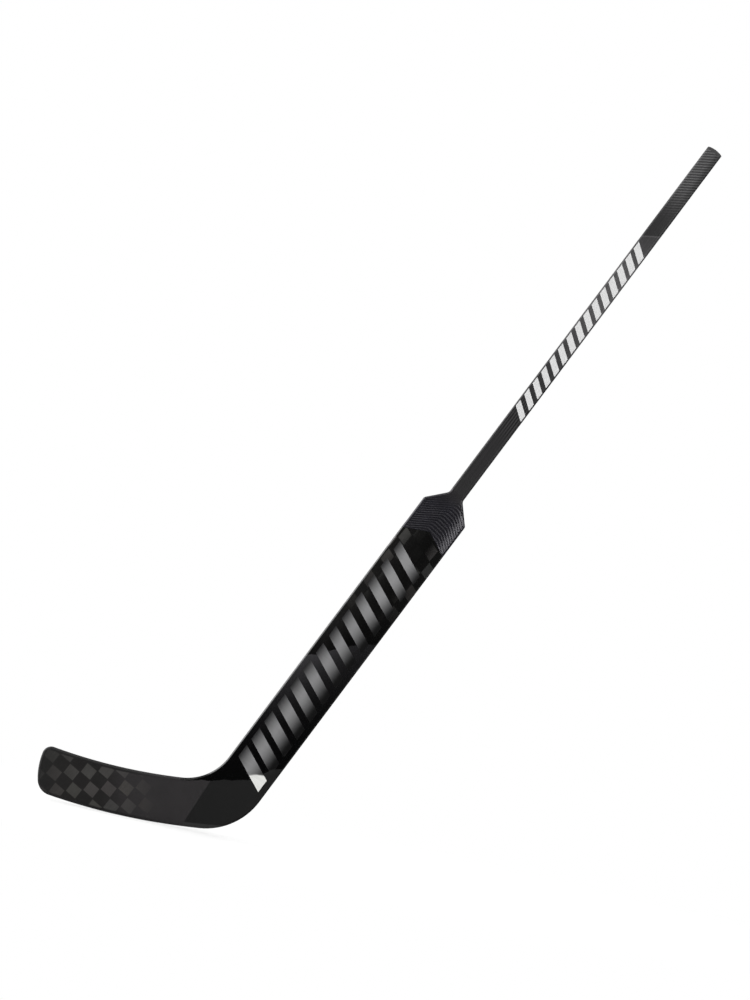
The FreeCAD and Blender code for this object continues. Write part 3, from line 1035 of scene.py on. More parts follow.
@dataclass(frozen=True)
class BladeMatte:
    """Matte laminate of the blade, with the weave showing towards the toe.

    Attributes:
        name: the material's name.
        bearings: the stick's directions.
        weave: the carbon weave.
        weave_out: the stretch along the level direction over which the light cells go.
        dark_lead: how much nearer to the toe the dark cells go.
        toe_way: the direction in which the weave comes at the toe.
        weave_in: the stretch along that direction over which it comes.
        borders: the dark strips along the edges.
        heel_line: the line that the lacquer ends at.
        lacquer_in: the stretch along the level direction over which the lacquer starts.
        shade: how light the laminate is, 1 on the blade's faces; lower values are painted shade on the rim's
            bands.
        toe_dark: how much of the strips' colour the toe has.
        fibre_tone: shade of the weave's fibres.
        grain: grains in a metre.
        grain_tone: shade of the grains.
        cloud: clouds in a metre.
        cloud_tone: shade of the clouds.
        dull: roughness of the laminate.
        gloss: roughness of the lacquer.
        seam_height: height of the tows over the lines between them, as a share of the grains'.
        relief: height of the grains.
        lacquer: colour of the lacquer.
        plain: colour of the laminate without a weave.
        border: colour of the strips.
        dark_tow: colour of the dark cells.
        light_tow: colour of the light cells.
        specular: how much the laminate mirrors.
    """

    name: str
    bearings: Bearings
    weave: SpreadTow
    weave_out: Span
    dark_lead: float
    toe_way: Vector
    weave_in: Span
    borders: tuple[Border, ...]
    heel_line: HeelLine
    lacquer_in: Span
    shade: float = 1.0
    toe_dark: float = 0.72
    fibre_tone: Ramp = Ramp(0.3, 0.7, 0.9, 1.1)
    grain: float = 2000.0
    grain_tone: Ramp = Ramp(0.25, 0.75, 0.92, 1.08)
    cloud: float = 28.0
    cloud_tone: Ramp = Ramp(0.3, 0.7, 0.94, 1.06)
    dull: Ramp = Ramp(0.2, 0.8, 0.5, 0.62)
    gloss: float = 0.14
    seam_height: float = 0.5
    relief: Relief = Relief(0.00006, 0.4)
    lacquer: Colour = (0.0008, 0.0008, 0.0009)
    plain: Colour = (0.0208, 0.0187, 0.0198)
    border: Colour = (0.0090, 0.0086, 0.0084)
    dark_tow: Colour = (0.0092, 0.0082, 0.0078)
    light_tow: Colour = (0.0400, 0.0375, 0.0352)
    specular: float = 0.3

    def make(self) -> bpy.types.Material:
        """Returns the finish as a material."""
        sheet = Sheet(self.name)
        light, line, fibre, tint = self.weave.lay(sheet)
        streaked = sheet.tint(tint, sheet.step(fibre, *self.fibre_tone))
        level = sheet.reach(self.bearings.level)
        light_gone = sheet.step(level, *self.weave_out)
        dark_gone = sheet.step(level, *(end - self.dark_lead for end in self.weave_out))
        dark_cell = sheet.mix(dark_gone, sheet.product(self.dark_tow, streaked), self.plain)
        light_cell = sheet.mix(light_gone, sheet.product(self.light_tow, streaked), self.plain)
        colour = sheet.mix(light, dark_cell, light_cell)
        edging = sheet.mix(light_gone, self.border, self.plain)
        at_toe = sheet.step(sheet.reach(self.toe_way), *self.weave_in, self.toe_dark, 0.0)
        for dark in (at_toe, *(border.mask(sheet) for border in self.borders)):
            colour = sheet.mix(dark, colour, edging)
        over = self.heel_line.over(sheet, self.heel_line.uneven(sheet))
        lacquered = sheet.times(over, sheet.step(level, *self.lacquer_in))
        colour = sheet.mix(lacquered, colour, self.lacquer)
        grain = sheet.speckle(self.grain)
        clouded = sheet.step(sheet.speckle(self.cloud), *self.cloud_tone)
        tone = sheet.times(sheet.step(grain, *self.grain_tone), clouded, self.shade)
        dull = sheet.step(lacquered, 0.0, 1.0, sheet.step(fibre, *self.dull), self.gloss)
        height = sheet.math("ADD", grain, sheet.times(line, self.seam_height))
        return sheet.finish(sheet.tint(colour, tone), dull, self.specular, height, self.relief)


@dataclass(frozen=True)
class BareLaminate:
    """Bare carbon laminate of the pieces inside.

    Attributes:
        bearings: the stick's directions.
        streaks: grains of fibre in a metre, across, through and along the stick.
        tone: shade of the fibres.
        dull: roughness of the fibres.
        relief: height of the fibres.
        colour: colour of the laminate.
        specular: how much it mirrors.
    """

    bearings: Bearings
    streaks: Triple = (700.0, 700.0, 12.0)
    tone: Ramp = Ramp(0.3, 0.7, 0.6, 1.6)
    dull: Ramp = Ramp(0.2, 0.8, 0.4, 0.55)
    relief: Relief = Relief(0.00005, 0.5)
    colour: Colour = (0.012, 0.012, 0.0125)
    specular: float = 0.3

    def make(self) -> bpy.types.Material:
        """Returns the finish as a material."""
        sheet = Sheet("bare_carbon_laminate")
        streak = sheet.streaks(self.bearings, self.streaks)
        colour = sheet.tint(self.colour, sheet.step(streak, *self.tone))
        return sheet.finish(colour, sheet.step(streak, *self.dull), self.specular, streak, self.relief)


@dataclass(frozen=True)
class CoreFoam:
    """Cream foam of the cores.

    Attributes:
        cells: cells in a metre.
        cell_wall: distances from a cell's middle at which its wall starts and is full.
        tone: shade from the cells to their walls.
        dull: roughness from the cells to their walls.
        relief: height of the walls.
        colour: colour of the foam.
        specular: how much it mirrors.
    """

    cells: float = 900.0
    cell_wall: Span = (0.0, 0.7)
    tone: Ramp = Ramp(0.0, 1.0, 0.75, 1.05)
    dull: Ramp = Ramp(0.0, 1.0, 0.95, 0.8)
    relief: Relief = Relief(0.0004, 0.6)
    colour: Colour = (0.60, 0.54, 0.34)
    specular: float = 0.2

    def make(self) -> bpy.types.Material:
        """Returns the finish as a material."""
        sheet = Sheet("core_cream_foam")
        cells = sheet.add("ShaderNodeTexVoronoi", ("Vector", sheet.point), ("Scale", self.cells))
        wall = sheet.step(cells.outputs["Distance"], *self.cell_wall)
        colour = sheet.tint(self.colour, sheet.step(wall, *self.tone))
        return sheet.finish(colour, sheet.step(wall, *self.dull), self.specular, wall, self.relief)


def dress(nodes: Sequence[str], finish: bpy.types.Material) -> None:
    """Gives a finish to nodes of the frame that stay as they are.

    Args:
        nodes: their names.
        finish: the material.
    """
    for node in nodes:
        frame["nodes"][node].material_slots[0].material = finish
        LOG.info("dressed %s in %s", node, finish.name)


def seat(piece: bpy.types.Object, node: str, finish: bpy.types.Material) -> None:
    """Puts a new piece in the place of a node.

    Args:
        piece: the new piece.
        node: the node that it stands for.
        finish: the material.
    """
    piece.data.materials.append(finish)
    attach(piece, BODY)
    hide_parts(node)
    LOG.info("made %s with %d points in place of %s", piece.name, len(piece.data.vertices), node)


@dataclass(frozen=True)
class Ridges:
    """Slanted ridges across the shaft's two faces.

    Attributes:
        low: where they start, along the axis.
        high: where they end.
        fade: length over which they grow from their lower end.
        lip: length over which they end at the top.
        pitch: from ridge to ridge, along the axis.
        height: how far a ridge stands proud.
        slope: rise of a ridge along the axis for each length to the right.
        sharpness: how narrow the crests are, 1 for an even wave.
    """

    low: float
    high: float
    fade: float = 0.085
    lip: float = 0.002
    pitch: float = 0.00554
    height: float = 0.0006
    slope: float = 0.65
    sharpness: float = 1.3

    @property
    def growth(self) -> Span:
        """Returns where the ridges start and where they are full."""
        return self.low, self.low + self.fade

    def relief(self, across: np.ndarray, along: np.ndarray, turn_depth: np.ndarray) -> np.ndarray:
        """Gives the ridges' height on the tube.

        Args:
            across: places across the shaft.
            along: places along it.
            turn_depth: how squarely each place faces front or back.

        Returns:
            The height at each place.
        """
        count = (along - self.slope * across) / self.pitch
        wave = (0.5 + 0.5 * np.cos(math.tau * count)) ** self.sharpness
        grown = smooth_step(along, *self.growth)
        ended = smooth_step(self.high - along, 0.0, self.lip)
        return self.height * wave * grown * ended * turn_depth ** 2


@dataclass
class Shaft:
    """The shaft: a tube of rounded rectangular section, ridged under its butt.

    Attributes:
        bearings: the stick's directions.
        wall: thickness of the tube.
        corner: radius of its corners.
        ridge_zone: length of the ridged stretch.
        ridge_step: from one row of points to the next along that stretch.
        plain_step: the same along the rest.
        face_steps: steps across a face.
        side_steps: steps across a side.
        corner_steps: points round a corner.
        bar_start: from the tube's foot to the printed bars.
        bar_length: length of the printed row.
        bar_count: how many bars it has.
        bar_shares: share of the row's pitch that the first and the last bar take.
        bar_slant: how far a bar drops along the axis for each length to the right.
        bar_margin: from the bars' ends to the shaft's sides.
        tape_drop: from the butt down to the line across the shaft.
        tow_start: from the tube's foot to where single tows begin to show.
        tow_full: from the tube's foot to where they show fully.
    """

    bearings: Bearings
    wall: float = 0.0015
    corner: float = 0.0045
    ridge_zone: float = 0.150
    ridge_step: float = 0.0006
    plain_step: float = 0.02
    face_steps: int = 28
    side_steps: int = 8
    corner_steps: int = 7
    bar_start: float = 0.172
    bar_length: float = 0.365
    bar_count: int = 15
    bar_shares: Span = (0.55, 0.62)
    bar_slant: float = 0.74
    bar_margin: float = 0.0026
    tape_drop: float = 0.181
    tow_start: float = 0.105
    tow_full: float = 0.150

    def build(self) -> None:
        """Builds the tube and dresses it and the plug."""
        foot, butt = self.bearings.span("shaft_tube", self.bearings.axis)
        half_width = self.bearings.span("shaft_tube", self.bearings.right)[1]
        half_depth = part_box("shaft_tube")[1].y
        across, depth, turn_across, turn_depth = self.section(half_width, half_depth)
        ridged_foot = butt - self.ridge_zone
        plain = np.arange(foot, ridged_foot, self.plain_step)
        ridged = np.linspace(ridged_foot, butt, int(self.ridge_zone / self.ridge_step))
        along = np.concatenate([plain, ridged])[:, None]
        ridges = Ridges(ridged_foot, butt)
        ridge = ridges.relief(across, along, turn_depth)
        inner_share = np.array([half_width - self.wall, half_depth - self.wall])
        inner_share = inner_share / np.array([half_width, half_depth])
        outer = self.bearings.place(across + turn_across * ridge, along, depth + turn_depth * ridge)
        inner = self.bearings.place(across * inner_share[0], along, depth * inner_share[1])
        faces = shell_faces(len(along), len(across), True, len(across))
        tube = new_piece("shaft_ridged_tube", np.concatenate([outer, inner]), faces)
        bars = BarRow(
            foot + self.bar_start, self.bar_length / self.bar_count, self.bar_count,
            self.bar_shares, self.bar_slant, half_width - self.bar_margin,
        )
        bare_tow = (foot + self.tow_start, foot + self.tow_full)
        satin = ShaftSatin(self.bearings, bars, ridges, butt - self.tape_drop, bare_tow)
        seat(tube, "shaft_tube", satin.make())
        dress(["butt_plug"], RubberSatin().make())

    def section(self, half_width: float, half_depth: float) -> tuple[np.ndarray, ...]:
        """Walks once round the tube's section.

        Args:
            half_width: half its width.
            half_depth: half its depth.

        Returns:
            Places across and through the shaft, and the outward direction in both.
        """
        flat_width = half_width - self.corner
        flat_depth = half_depth - self.corner
        steps = (self.face_steps, self.side_steps, self.face_steps, self.side_steps)
        centres = ((1.0, -1.0), (1.0, 1.0), (-1.0, 1.0), (-1.0, -1.0))
        across, depth, turn = [], [], []
        for quarter, (sign_across, sign_depth) in enumerate(centres):
            before = centres[quarter - 1]
            start = (quarter - 1) * math.pi / 2.0
            run = np.linspace(0.0, 1.0, steps[quarter], endpoint=False)[1:]
            along_edge = [before[i] + (centres[quarter][i] - before[i]) * run for i in (0, 1)]
            across.append(along_edge[0] * flat_width + self.corner * math.cos(start))
            depth.append(along_edge[1] * flat_depth + self.corner * math.sin(start))
            turn.append(np.full(len(run), start))
            bend = np.linspace(start, start + math.pi / 2.0, self.corner_steps)
            across.append(sign_across * flat_width + self.corner * np.cos(bend))
            depth.append(sign_depth * flat_depth + self.corner * np.sin(bend))
            turn.append(bend)
        angle = np.concatenate(turn)
        return np.concatenate(across), np.concatenate(depth), np.cos(angle), np.sin(angle)


@dataclass
class Shoulder:
    """The ribbed shoulder: two half shells that widen from the shaft to the paddle.

    Attributes:
        bearings: the stick's directions.
        wall: thickness of a half shell.
        neck_run: length of the narrow end that meets the shaft.
        taper_run: length of the slopes.
        corner: radius where the slopes meet the paddle's edges.
        neck: radius where they meet the shaft.
        edge: radius of the rounded edges.
        crown: how far the face falls off towards its left edge.
        crown_run: over what width it does.
        rib_pitch: from rib to rib, along the axis.
        rib_depth: depth of the grooves between ribs.
        left_depth: the same left of the crest.
        rib_margin: from the paddle to where the ribs have their full depth.
        rib_fade: over what width they end beside the rounded edges.
        rib_ease: over what length they grow from the shoulder's top.
        left_ease: the same left of the crest.
        left_slope: drop of a rib along the axis for each length left of its crest.
        middle_slope: the same right of the crest.
        flank_slope: the same beyond the flank's bend.
        crest_place: how far the crest lies right of the axis at the chevron's apex.
        crest_lean: how far the crest moves right for each length up.
        flank_place: how far the flank's bend lies right of the axis.
        flank_depth: depth of the grooves on the flank, where each rib leans to the right.
        flank_run: over what width the ribs begin to lean.
        flank_fall: how far the flank curves down towards its rounded edge.
        fall_run: over what width it does.
        lean_share: share of a rib that its leaning side takes.
        lean_round: how round the leaning ribs' crests are, as a share of their height.
        bend: radius of the ribs' bends.
        lip_share: share of the ribs' margin that the groove along the paddle takes.
        rib_rows: rows of points in a rib.
        flat_steps: steps across half the flat.
        roll_steps: steps round a rounded edge.
        side_steps: steps down a side.
        settle_rounds: rounds after which width and foot of each row agree.
    """

    bearings: Bearings
    wall: float = 0.0014
    neck_run: float = 0.008
    taper_run: float = 0.033
    corner: float = 0.006
    neck: float = 0.010
    edge: float = 0.0045
    crown: float = 0.0003
    crown_run: float = 0.014
    rib_pitch: float = 0.0052
    rib_depth: float = 0.00028
    left_depth: float = 0.0005
    rib_margin: float = 0.003
    rib_fade: float = 0.0025
    rib_ease: float = 0.020
    left_ease: float = 0.058
    left_slope: float = 0.75
    middle_slope: float = 0.14
    flank_slope: float = 0.80
    crest_place: float = -0.009
    crest_lean: float = 0.28
    flank_place: float = 0.0215
    flank_depth: float = 0.0008
    flank_run: float = 0.015
    flank_fall: float = 0.00045
    fall_run: float = 0.009
    lean_share: float = 0.88
    lean_round: float = 0.2
    bend: float = 0.0025
    lip_share: float = 0.4
    rib_rows: int = 12
    flat_steps: int = 80
    roll_steps: int = 16
    side_steps: int = 2
    settle_rounds: int = 14

    def build(self) -> None:
        """Builds both half shells and dresses them."""
        top = self.bearings.span("shoulder_front_grip", self.bearings.axis)[1]
        grip = RibbedGrip(self.bearings, (top - self.taper_run, top)).make()
        for side, node in ((Side.FRONT, "shoulder_front_grip"), (Side.BACK, "shoulder_back_grip")):
            shell = self.half_shell(side, node)
            seat(shell, node, grip)

    def half_shell(self, side: Side, node: str) -> bpy.types.Object:
        """Builds one half shell.

        Args:
            side: which half.
            node: the node that it stands for.

        Returns:
            The new piece.
        """
        edge_foot, top = self.bearings.span(node, self.bearings.axis)
        skin = f"paddle_{side.name.lower()}_skin"
        apex = self.bearings.span(skin, self.bearings.axis)[1]
        half_width = self.bearings.span(node, self.bearings.right)[1]
        half_depth = abs(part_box(node)[0].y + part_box(node)[1].y)
        shaft_half = self.bearings.span("shaft_tube", self.bearings.right)[1]
        drop = (apex - edge_foot) / half_width
        row_count = round((top - edge_foot) / self.rib_pitch * self.rib_rows)
        rows = np.linspace(0.0, 1.0, row_count + 1)[:, None]
        share, roll_angle, side_share = self.half_profile()
        across_share = np.concatenate([-share[::-1], share[1:]])
        angle = np.concatenate([roll_angle[::-1], roll_angle[1:]])
        wall_share = np.concatenate([side_share[::-1], side_share[1:]])
        across = across_share * half_width * np.ones_like(rows)
        for _ in range(self.settle_rounds):
            foot = apex - drop * np.abs(across)
            along = foot + rows * (top - foot)
            width = self.width_at(along, top, half_width, shaft_half)
            flat = width - self.edge
            reach = np.where(angle > 0.0, flat + self.edge * np.sin(angle), flat * np.abs(across_share))
            across = np.sign(across_share) * reach
        depth = (half_depth - self.edge + self.edge * np.cos(angle)) * (1.0 - wall_share)
        turn_across = np.sign(across_share) * np.sin(angle)
        groove = self.relief(across, along, foot, (apex, top), flat, angle)
        outer = self.bearings.place(
            across - turn_across * groove, along, side.value * (depth - np.cos(angle) * groove)
        )
        inner = self.bearings.place(
            across * (1.0 - self.wall / width), along, side.value * depth * (1.0 - self.wall / half_depth)
        )
        columns = across.shape[1]
        faces = shell_faces(len(rows), columns, False, columns // 2)
        name = f"shoulder_{side.name.lower()}_ribs"
        return new_piece(name, np.concatenate([outer, inner]), faces)

    def half_profile(self) -> tuple[np.ndarray, np.ndarray, np.ndarray]:
        """Lays out the points of half a row, from the middle to the parting line.

        Returns:
            The share of the flat, the angle of the roll, and the share of the side wall.
        """
        flat = np.linspace(0.0, 1.0, self.flat_steps + 1)
        roll = np.linspace(0.0, math.pi / 2.0, self.roll_steps + 1)[1:]
        wall = np.linspace(0.0, 1.0, self.side_steps + 1)[1:]
        share = np.concatenate([flat, np.ones(self.roll_steps + self.side_steps)])
        angle = np.concatenate([np.zeros(self.flat_steps + 1), roll, np.full(self.side_steps, math.pi / 2.0)])
        side = np.concatenate([np.zeros(self.flat_steps + 1 + self.roll_steps), wall])
        return share, angle, side

    def width_at(self, along: np.ndarray, top: float, half_width: float, shaft_half: float) -> np.ndarray:
        """Gives half the shoulder's width: straight edges, slopes and the neck, with rounded turns.

        Args:
            along: places along the axis.
            top: where the shoulder ends.
            half_width: half the paddle's width.
            shaft_half: half the shaft's width.

        Returns:
            The half width at each place.
        """
        slope_top = top - self.neck_run
        slope_foot = slope_top - self.taper_run
        turn = math.atan2(half_width - shaft_half, self.taper_run)
        width = half_width - (along - slope_foot) / self.taper_run * (half_width - shaft_half)
        width = np.clip(width, shaft_half, half_width)
        low = slope_foot - self.corner * math.tan(turn / 2.0)
        bend = (along > low) & (along < low + self.corner * math.sin(turn))
        lift = np.sqrt(np.clip(self.corner ** 2 - (along - low) ** 2, 0.0, None))
        width = np.where(bend, half_width - self.corner + lift, width)
        high = slope_top + self.neck * math.tan(turn / 2.0)
        bend = (along < high) & (along > high - self.neck * math.sin(turn))
        lift = np.sqrt(np.clip(self.neck ** 2 - (along - high) ** 2, 0.0, None))
        return np.where(bend, shaft_half + self.neck - lift, width)

    def relief(
        self,
        across: np.ndarray,
        along: np.ndarray,
        foot: np.ndarray,
        ends: Span,
        flat: np.ndarray,
        angle: np.ndarray,
    ) -> np.ndarray:
        """Gives how far the surface lies under a plain shell, with its grooves, crown and curved flank.

        Args:
            across: places across the shoulder.
            along: places along it.
            foot: where the shoulder starts at each place.
            ends: where the ribs' crest starts, and where the shoulder ends.
            flat: half the width of the flat in each row.
            angle: how far round the rounded edge each place lies.

        Returns:
            The depth at each place.
        """
        from_top = smooth_step(ends[1] - along, 0.0, self.taper_run)
        fallen = self.crown * smooth_step(-across, flat - self.crown_run, flat)
        fallen = fallen * smooth_step(along - foot, 0.0, self.crown_run) * from_top
        curved = np.clip((across - flat) / self.fall_run + 1.0, 0.0, 1.0) ** 2 * np.cos(angle) ** 2
        curved = curved * smooth_step(along - foot, 0.0, self.rib_margin)
        fallen = fallen + self.flank_fall * curved * from_top
        on_flank = smooth_step(across - self.flank_place + self.bend, 0.0, self.flank_run)
        ended = smooth_step(flat - np.abs(across), 0.0, self.rib_fade)
        shown = ended + (np.cos(angle) ** 2 - ended) * on_flank
        return self.grooves(across, along, foot, ends, on_flank) * shown + fallen

    def grooves(
        self,
        across: np.ndarray,
        along: np.ndarray,
        foot: np.ndarray,
        ends: Span,
        on_flank: np.ndarray,
    ) -> np.ndarray:
        """Gives the depth of the grooves between the ribs.

        Args:
            across: places across the shoulder.
            along: places along it.
            foot: where the shoulder starts at each place.
            ends: where the ribs' crest starts, and where the shoulder ends.
            on_flank: 1 on the flank and 0 beside it.

        Returns:
            The depth at each place.
        """
        apex, top = ends
        from_crest = across - self.crest_place - self.crest_lean * (along - apex)
        crest = np.hypot(from_crest, self.bend)
        flank = np.hypot(across - self.flank_place, self.bend)
        crest_turn = (self.left_slope + self.middle_slope) / 2.0
        flank_turn = (self.flank_slope - self.middle_slope) / 2.0
        drift = (self.flank_slope - self.left_slope) / 2.0
        drop = crest_turn * crest + flank_turn * flank + drift * across
        count = (along + drop) / self.rib_pitch
        phase = count - np.floor(count)
        up, down = phase / self.lean_share, (1.0 - phase) / (1.0 - self.lean_share)
        leaning = (up + down - np.hypot(up - down, self.lean_round)) / 2.0
        even = 0.5 - 0.5 * np.cos(math.tau * count)
        right_share = smooth_step(from_crest, -self.crown_run, self.crown_run)
        depth = self.left_depth + (self.rib_depth - self.left_depth) * right_share
        wave = even * depth * (1.0 - on_flank) + leaning * self.flank_depth * on_flank
        inside = smooth_step(along - foot, 0.0, self.rib_margin)
        ease = self.left_ease + (self.rib_ease - self.left_ease) * right_share
        inside = inside * smooth_step(top - along, 0.0, ease)
        lip = 1.0 - smooth_step(along - foot, 0.0, self.rib_margin * self.lip_share)
        return np.maximum(wave * inside, lip * self.rib_depth)


@dataclass
class Paddle:
    """The paddle and heel: two skins under lacquer.

    Attributes:
        bearings: the stick's directions.
        heel_line: where the matte heel ends.
        sole: the sole's arc.
        strip_height: height of the strip along the sole.
        strip_soft: over what height it ends.
        bar_drop: from the paddle's top down to the printed bars.
        bar_length: length of the printed row.
        bar_count: how many bars it has.
        bar_shares: share of the row's pitch that the first and the last bar take.
        bar_slant: how far a bar drops along the axis for each length to the right.
        bar_margin: from the bars' ends to the paddle's edges.
        upper_drops: from the paddle's top to where its upper part starts and is full, along the axis.
        weave_drops: the same for its weave.
        weave_drop: from the paddle's top to the middle of a dark cell of its weave, along the axis.
        weave_left: how far that cell lies left of the axis.
        weave_turn: how far its rows of cells rise to the right, in radians.
        weave_lean: how far its columns move right for each length down.
        weave_diagonal: width of a cell from corner to corner.
        weave_stretch: height of a cell as a share of its width.
    """

    bearings: Bearings
    heel_line: HeelLine
    sole: Sole
    strip_height: float = 0.0085
    strip_soft: float = 0.001
    bar_drop: float = 0.0388
    bar_length: float = 0.486
    bar_count: int = 13
    bar_shares: Span = (0.66, 0.5)
    bar_slant: float = 0.45
    bar_margin: float = 0.0120
    upper_drops: Span = (0.23, 0.115)
    weave_drops: Span = (0.24, -0.03)
    weave_drop: float = 0.0377
    weave_left: float = 0.0128
    weave_turn: float = math.radians(6.8)
    weave_lean: float = -0.285
    weave_diagonal: float = 0.0255
    weave_stretch: float = 1.30

    def build(self) -> None:
        """Dresses the two skins."""
        top = self.bearings.span("paddle_front_skin", self.bearings.axis)[1]
        half_width = self.bearings.span("shoulder_front_grip", self.bearings.right)[1]
        bars = BarRow(
            top - self.bar_drop - self.bar_length, self.bar_length / self.bar_count, self.bar_count,
            self.bar_shares, self.bar_slant, half_width - self.bar_margin,
        )
        cell = self.bearings.axis * (top - self.weave_drop) - self.bearings.right * self.weave_left
        weave = SpreadTow(
            self.bearings, cell, self.weave_turn, self.weave_lean, self.weave_diagonal, self.weave_stretch
        )
        stretches = [tuple(top - drop for drop in drops) for drops in (self.upper_drops, self.weave_drops)]
        strip = self.sole.border(self.strip_height, self.strip_soft)
        gloss = PaddleGloss(self.bearings, weave, bars, self.heel_line, strip, half_width, *stretches)
        dress(["paddle_front_skin", "paddle_back_skin"], gloss.make())


@dataclass
class Blade:
    """The blade: two faces and the three bands of its rim.

    Attributes:
        bearings: the stick's directions.
        heel_line: the line that the paddle's lacquer ends at.
        sole: the sole's arc.
        weave_reach: from the toe to where the weave is gone, along the level direction.
        weave_fade: over what length it goes.
        dark_lead: how much nearer to the toe its dark cells go.
        toe_lean: how much further from the toe the weave starts for each length up.
        toe_fade: over what length it comes.
        lacquer_reach: how far the lacquer comes from the heel along the blade's top edge.
        lacquer_fade: over what length it starts.
        cell_right: from the toe to the middle of a dark cell.
        cell_height: from the sole's low point up to that cell.
        top_radius: radius of the top edge's arc.
        top_low: from the toe to that arc's low point.
        top_height: from the sole's low point up to it.
        toe_radius: radius of the toe's arc.
        toe_height: from the sole's low point up to its centre.
        top_border: width of the dark strip along the top edge.
        toe_border: the same round the toe.
        sole_border: the same along the sole.
        border_soft: over what width the strips end.
        rim_painted_shades: painted shade of each band of the rim.
    """

    bearings: Bearings
    heel_line: HeelLine
    sole: Sole
    weave_reach: float = 0.220
    weave_fade: float = 0.080
    dark_lead: float = 0.042
    toe_lean: float = 0.35
    toe_fade: float = 0.095
    lacquer_reach: float = 0.060
    lacquer_fade: float = 0.014
    cell_right: float = 0.0785
    cell_height: float = 0.0444
    top_radius: float = 1.0045
    top_low: float = 0.1557
    top_height: float = 0.0821
    toe_radius: float = 0.120
    toe_height: float = 0.057
    top_border: float = 0.0075
    toe_border: float = 0.005
    sole_border: float = 0.0060
    border_soft: float = 0.002
    rim_painted_shades: tuple[tuple[Rim, float], ...] = ((Rim.TOP, 0.9), (Rim.TOE, 1.0), (Rim.SOLE, 0.95))

    def build(self) -> None:
        """Dresses the faces and the rim."""
        toe = self.bearings.span("blade_toe_cap", self.bearings.level)[0]
        heel = self.bearings.span("blade_front_skin", self.bearings.level)[1]
        low, _ = cad_box
        cell = Vector((low.x + self.cell_right, 0.0, low.z + self.cell_height))
        top_centre = Vector((low.x + self.top_low, 0.0, low.z + self.top_height + self.top_radius))
        toe_centre = Vector((low.x + self.toe_radius, 0.0, low.z + self.toe_height))
        borders = (
            Border(top_centre, self.top_radius, self.top_border, self.border_soft, True),
            Border(toe_centre, self.toe_radius, self.toe_border, self.border_soft),
            self.sole.border(self.sole_border, self.border_soft),
        )
        weave_gone = toe + self.weave_reach
        toe_way = self.bearings.level - self.bearings.rise * self.toe_lean
        toe_start = self.bearings.span("blade_toe_cap", toe_way)[0]
        lacquer_start = heel - self.lacquer_reach
        face = BladeMatte(
            "blade_matte_weave", self.bearings, SpreadTow(self.bearings, cell),
            (weave_gone - self.weave_fade, weave_gone), self.dark_lead,
            toe_way, (toe_start, toe_start + self.toe_fade), borders,
            self.heel_line, (lacquer_start, lacquer_start + self.lacquer_fade),
        )
        dress(["blade_front_skin", "blade_back_skin"], face.make())
        # Painted shade: each band of the rim gets a copy of the faces' finish, darker on the top and the
        # sole.
        for rim, shade in self.rim_painted_shades:
            band = replace(face, name=f"blade_{rim.name.lower()}_rim", shade=shade)
            dress([rim.value], band.make())


@dataclass
class Inside:
    """The pieces that the skins hide.

    Attributes:
        bearings: the stick's directions.
    """

    bearings: Bearings

    def build(self) -> None:
        """Dresses the cores and the webs."""
        finishes = {"core_foam": CoreFoam().make(), "bare_laminate": BareLaminate(self.bearings).make()}
        for subpart in frame["record"]["subparts"]:
            if subpart["material_slot"] in finishes:
                dress([subpart["node"]], finishes[subpart["material_slot"]])


class Lamp(NamedTuple):
    """A soft lamp that looks at the stick.

    Attributes:
        name: the lamp's name.
        offset: where it hangs, from the point that the camera looks at.
        size: its width and height.
        power: its power in watts.
    """

    name: str
    offset: Triple
    size: Span
    power: float


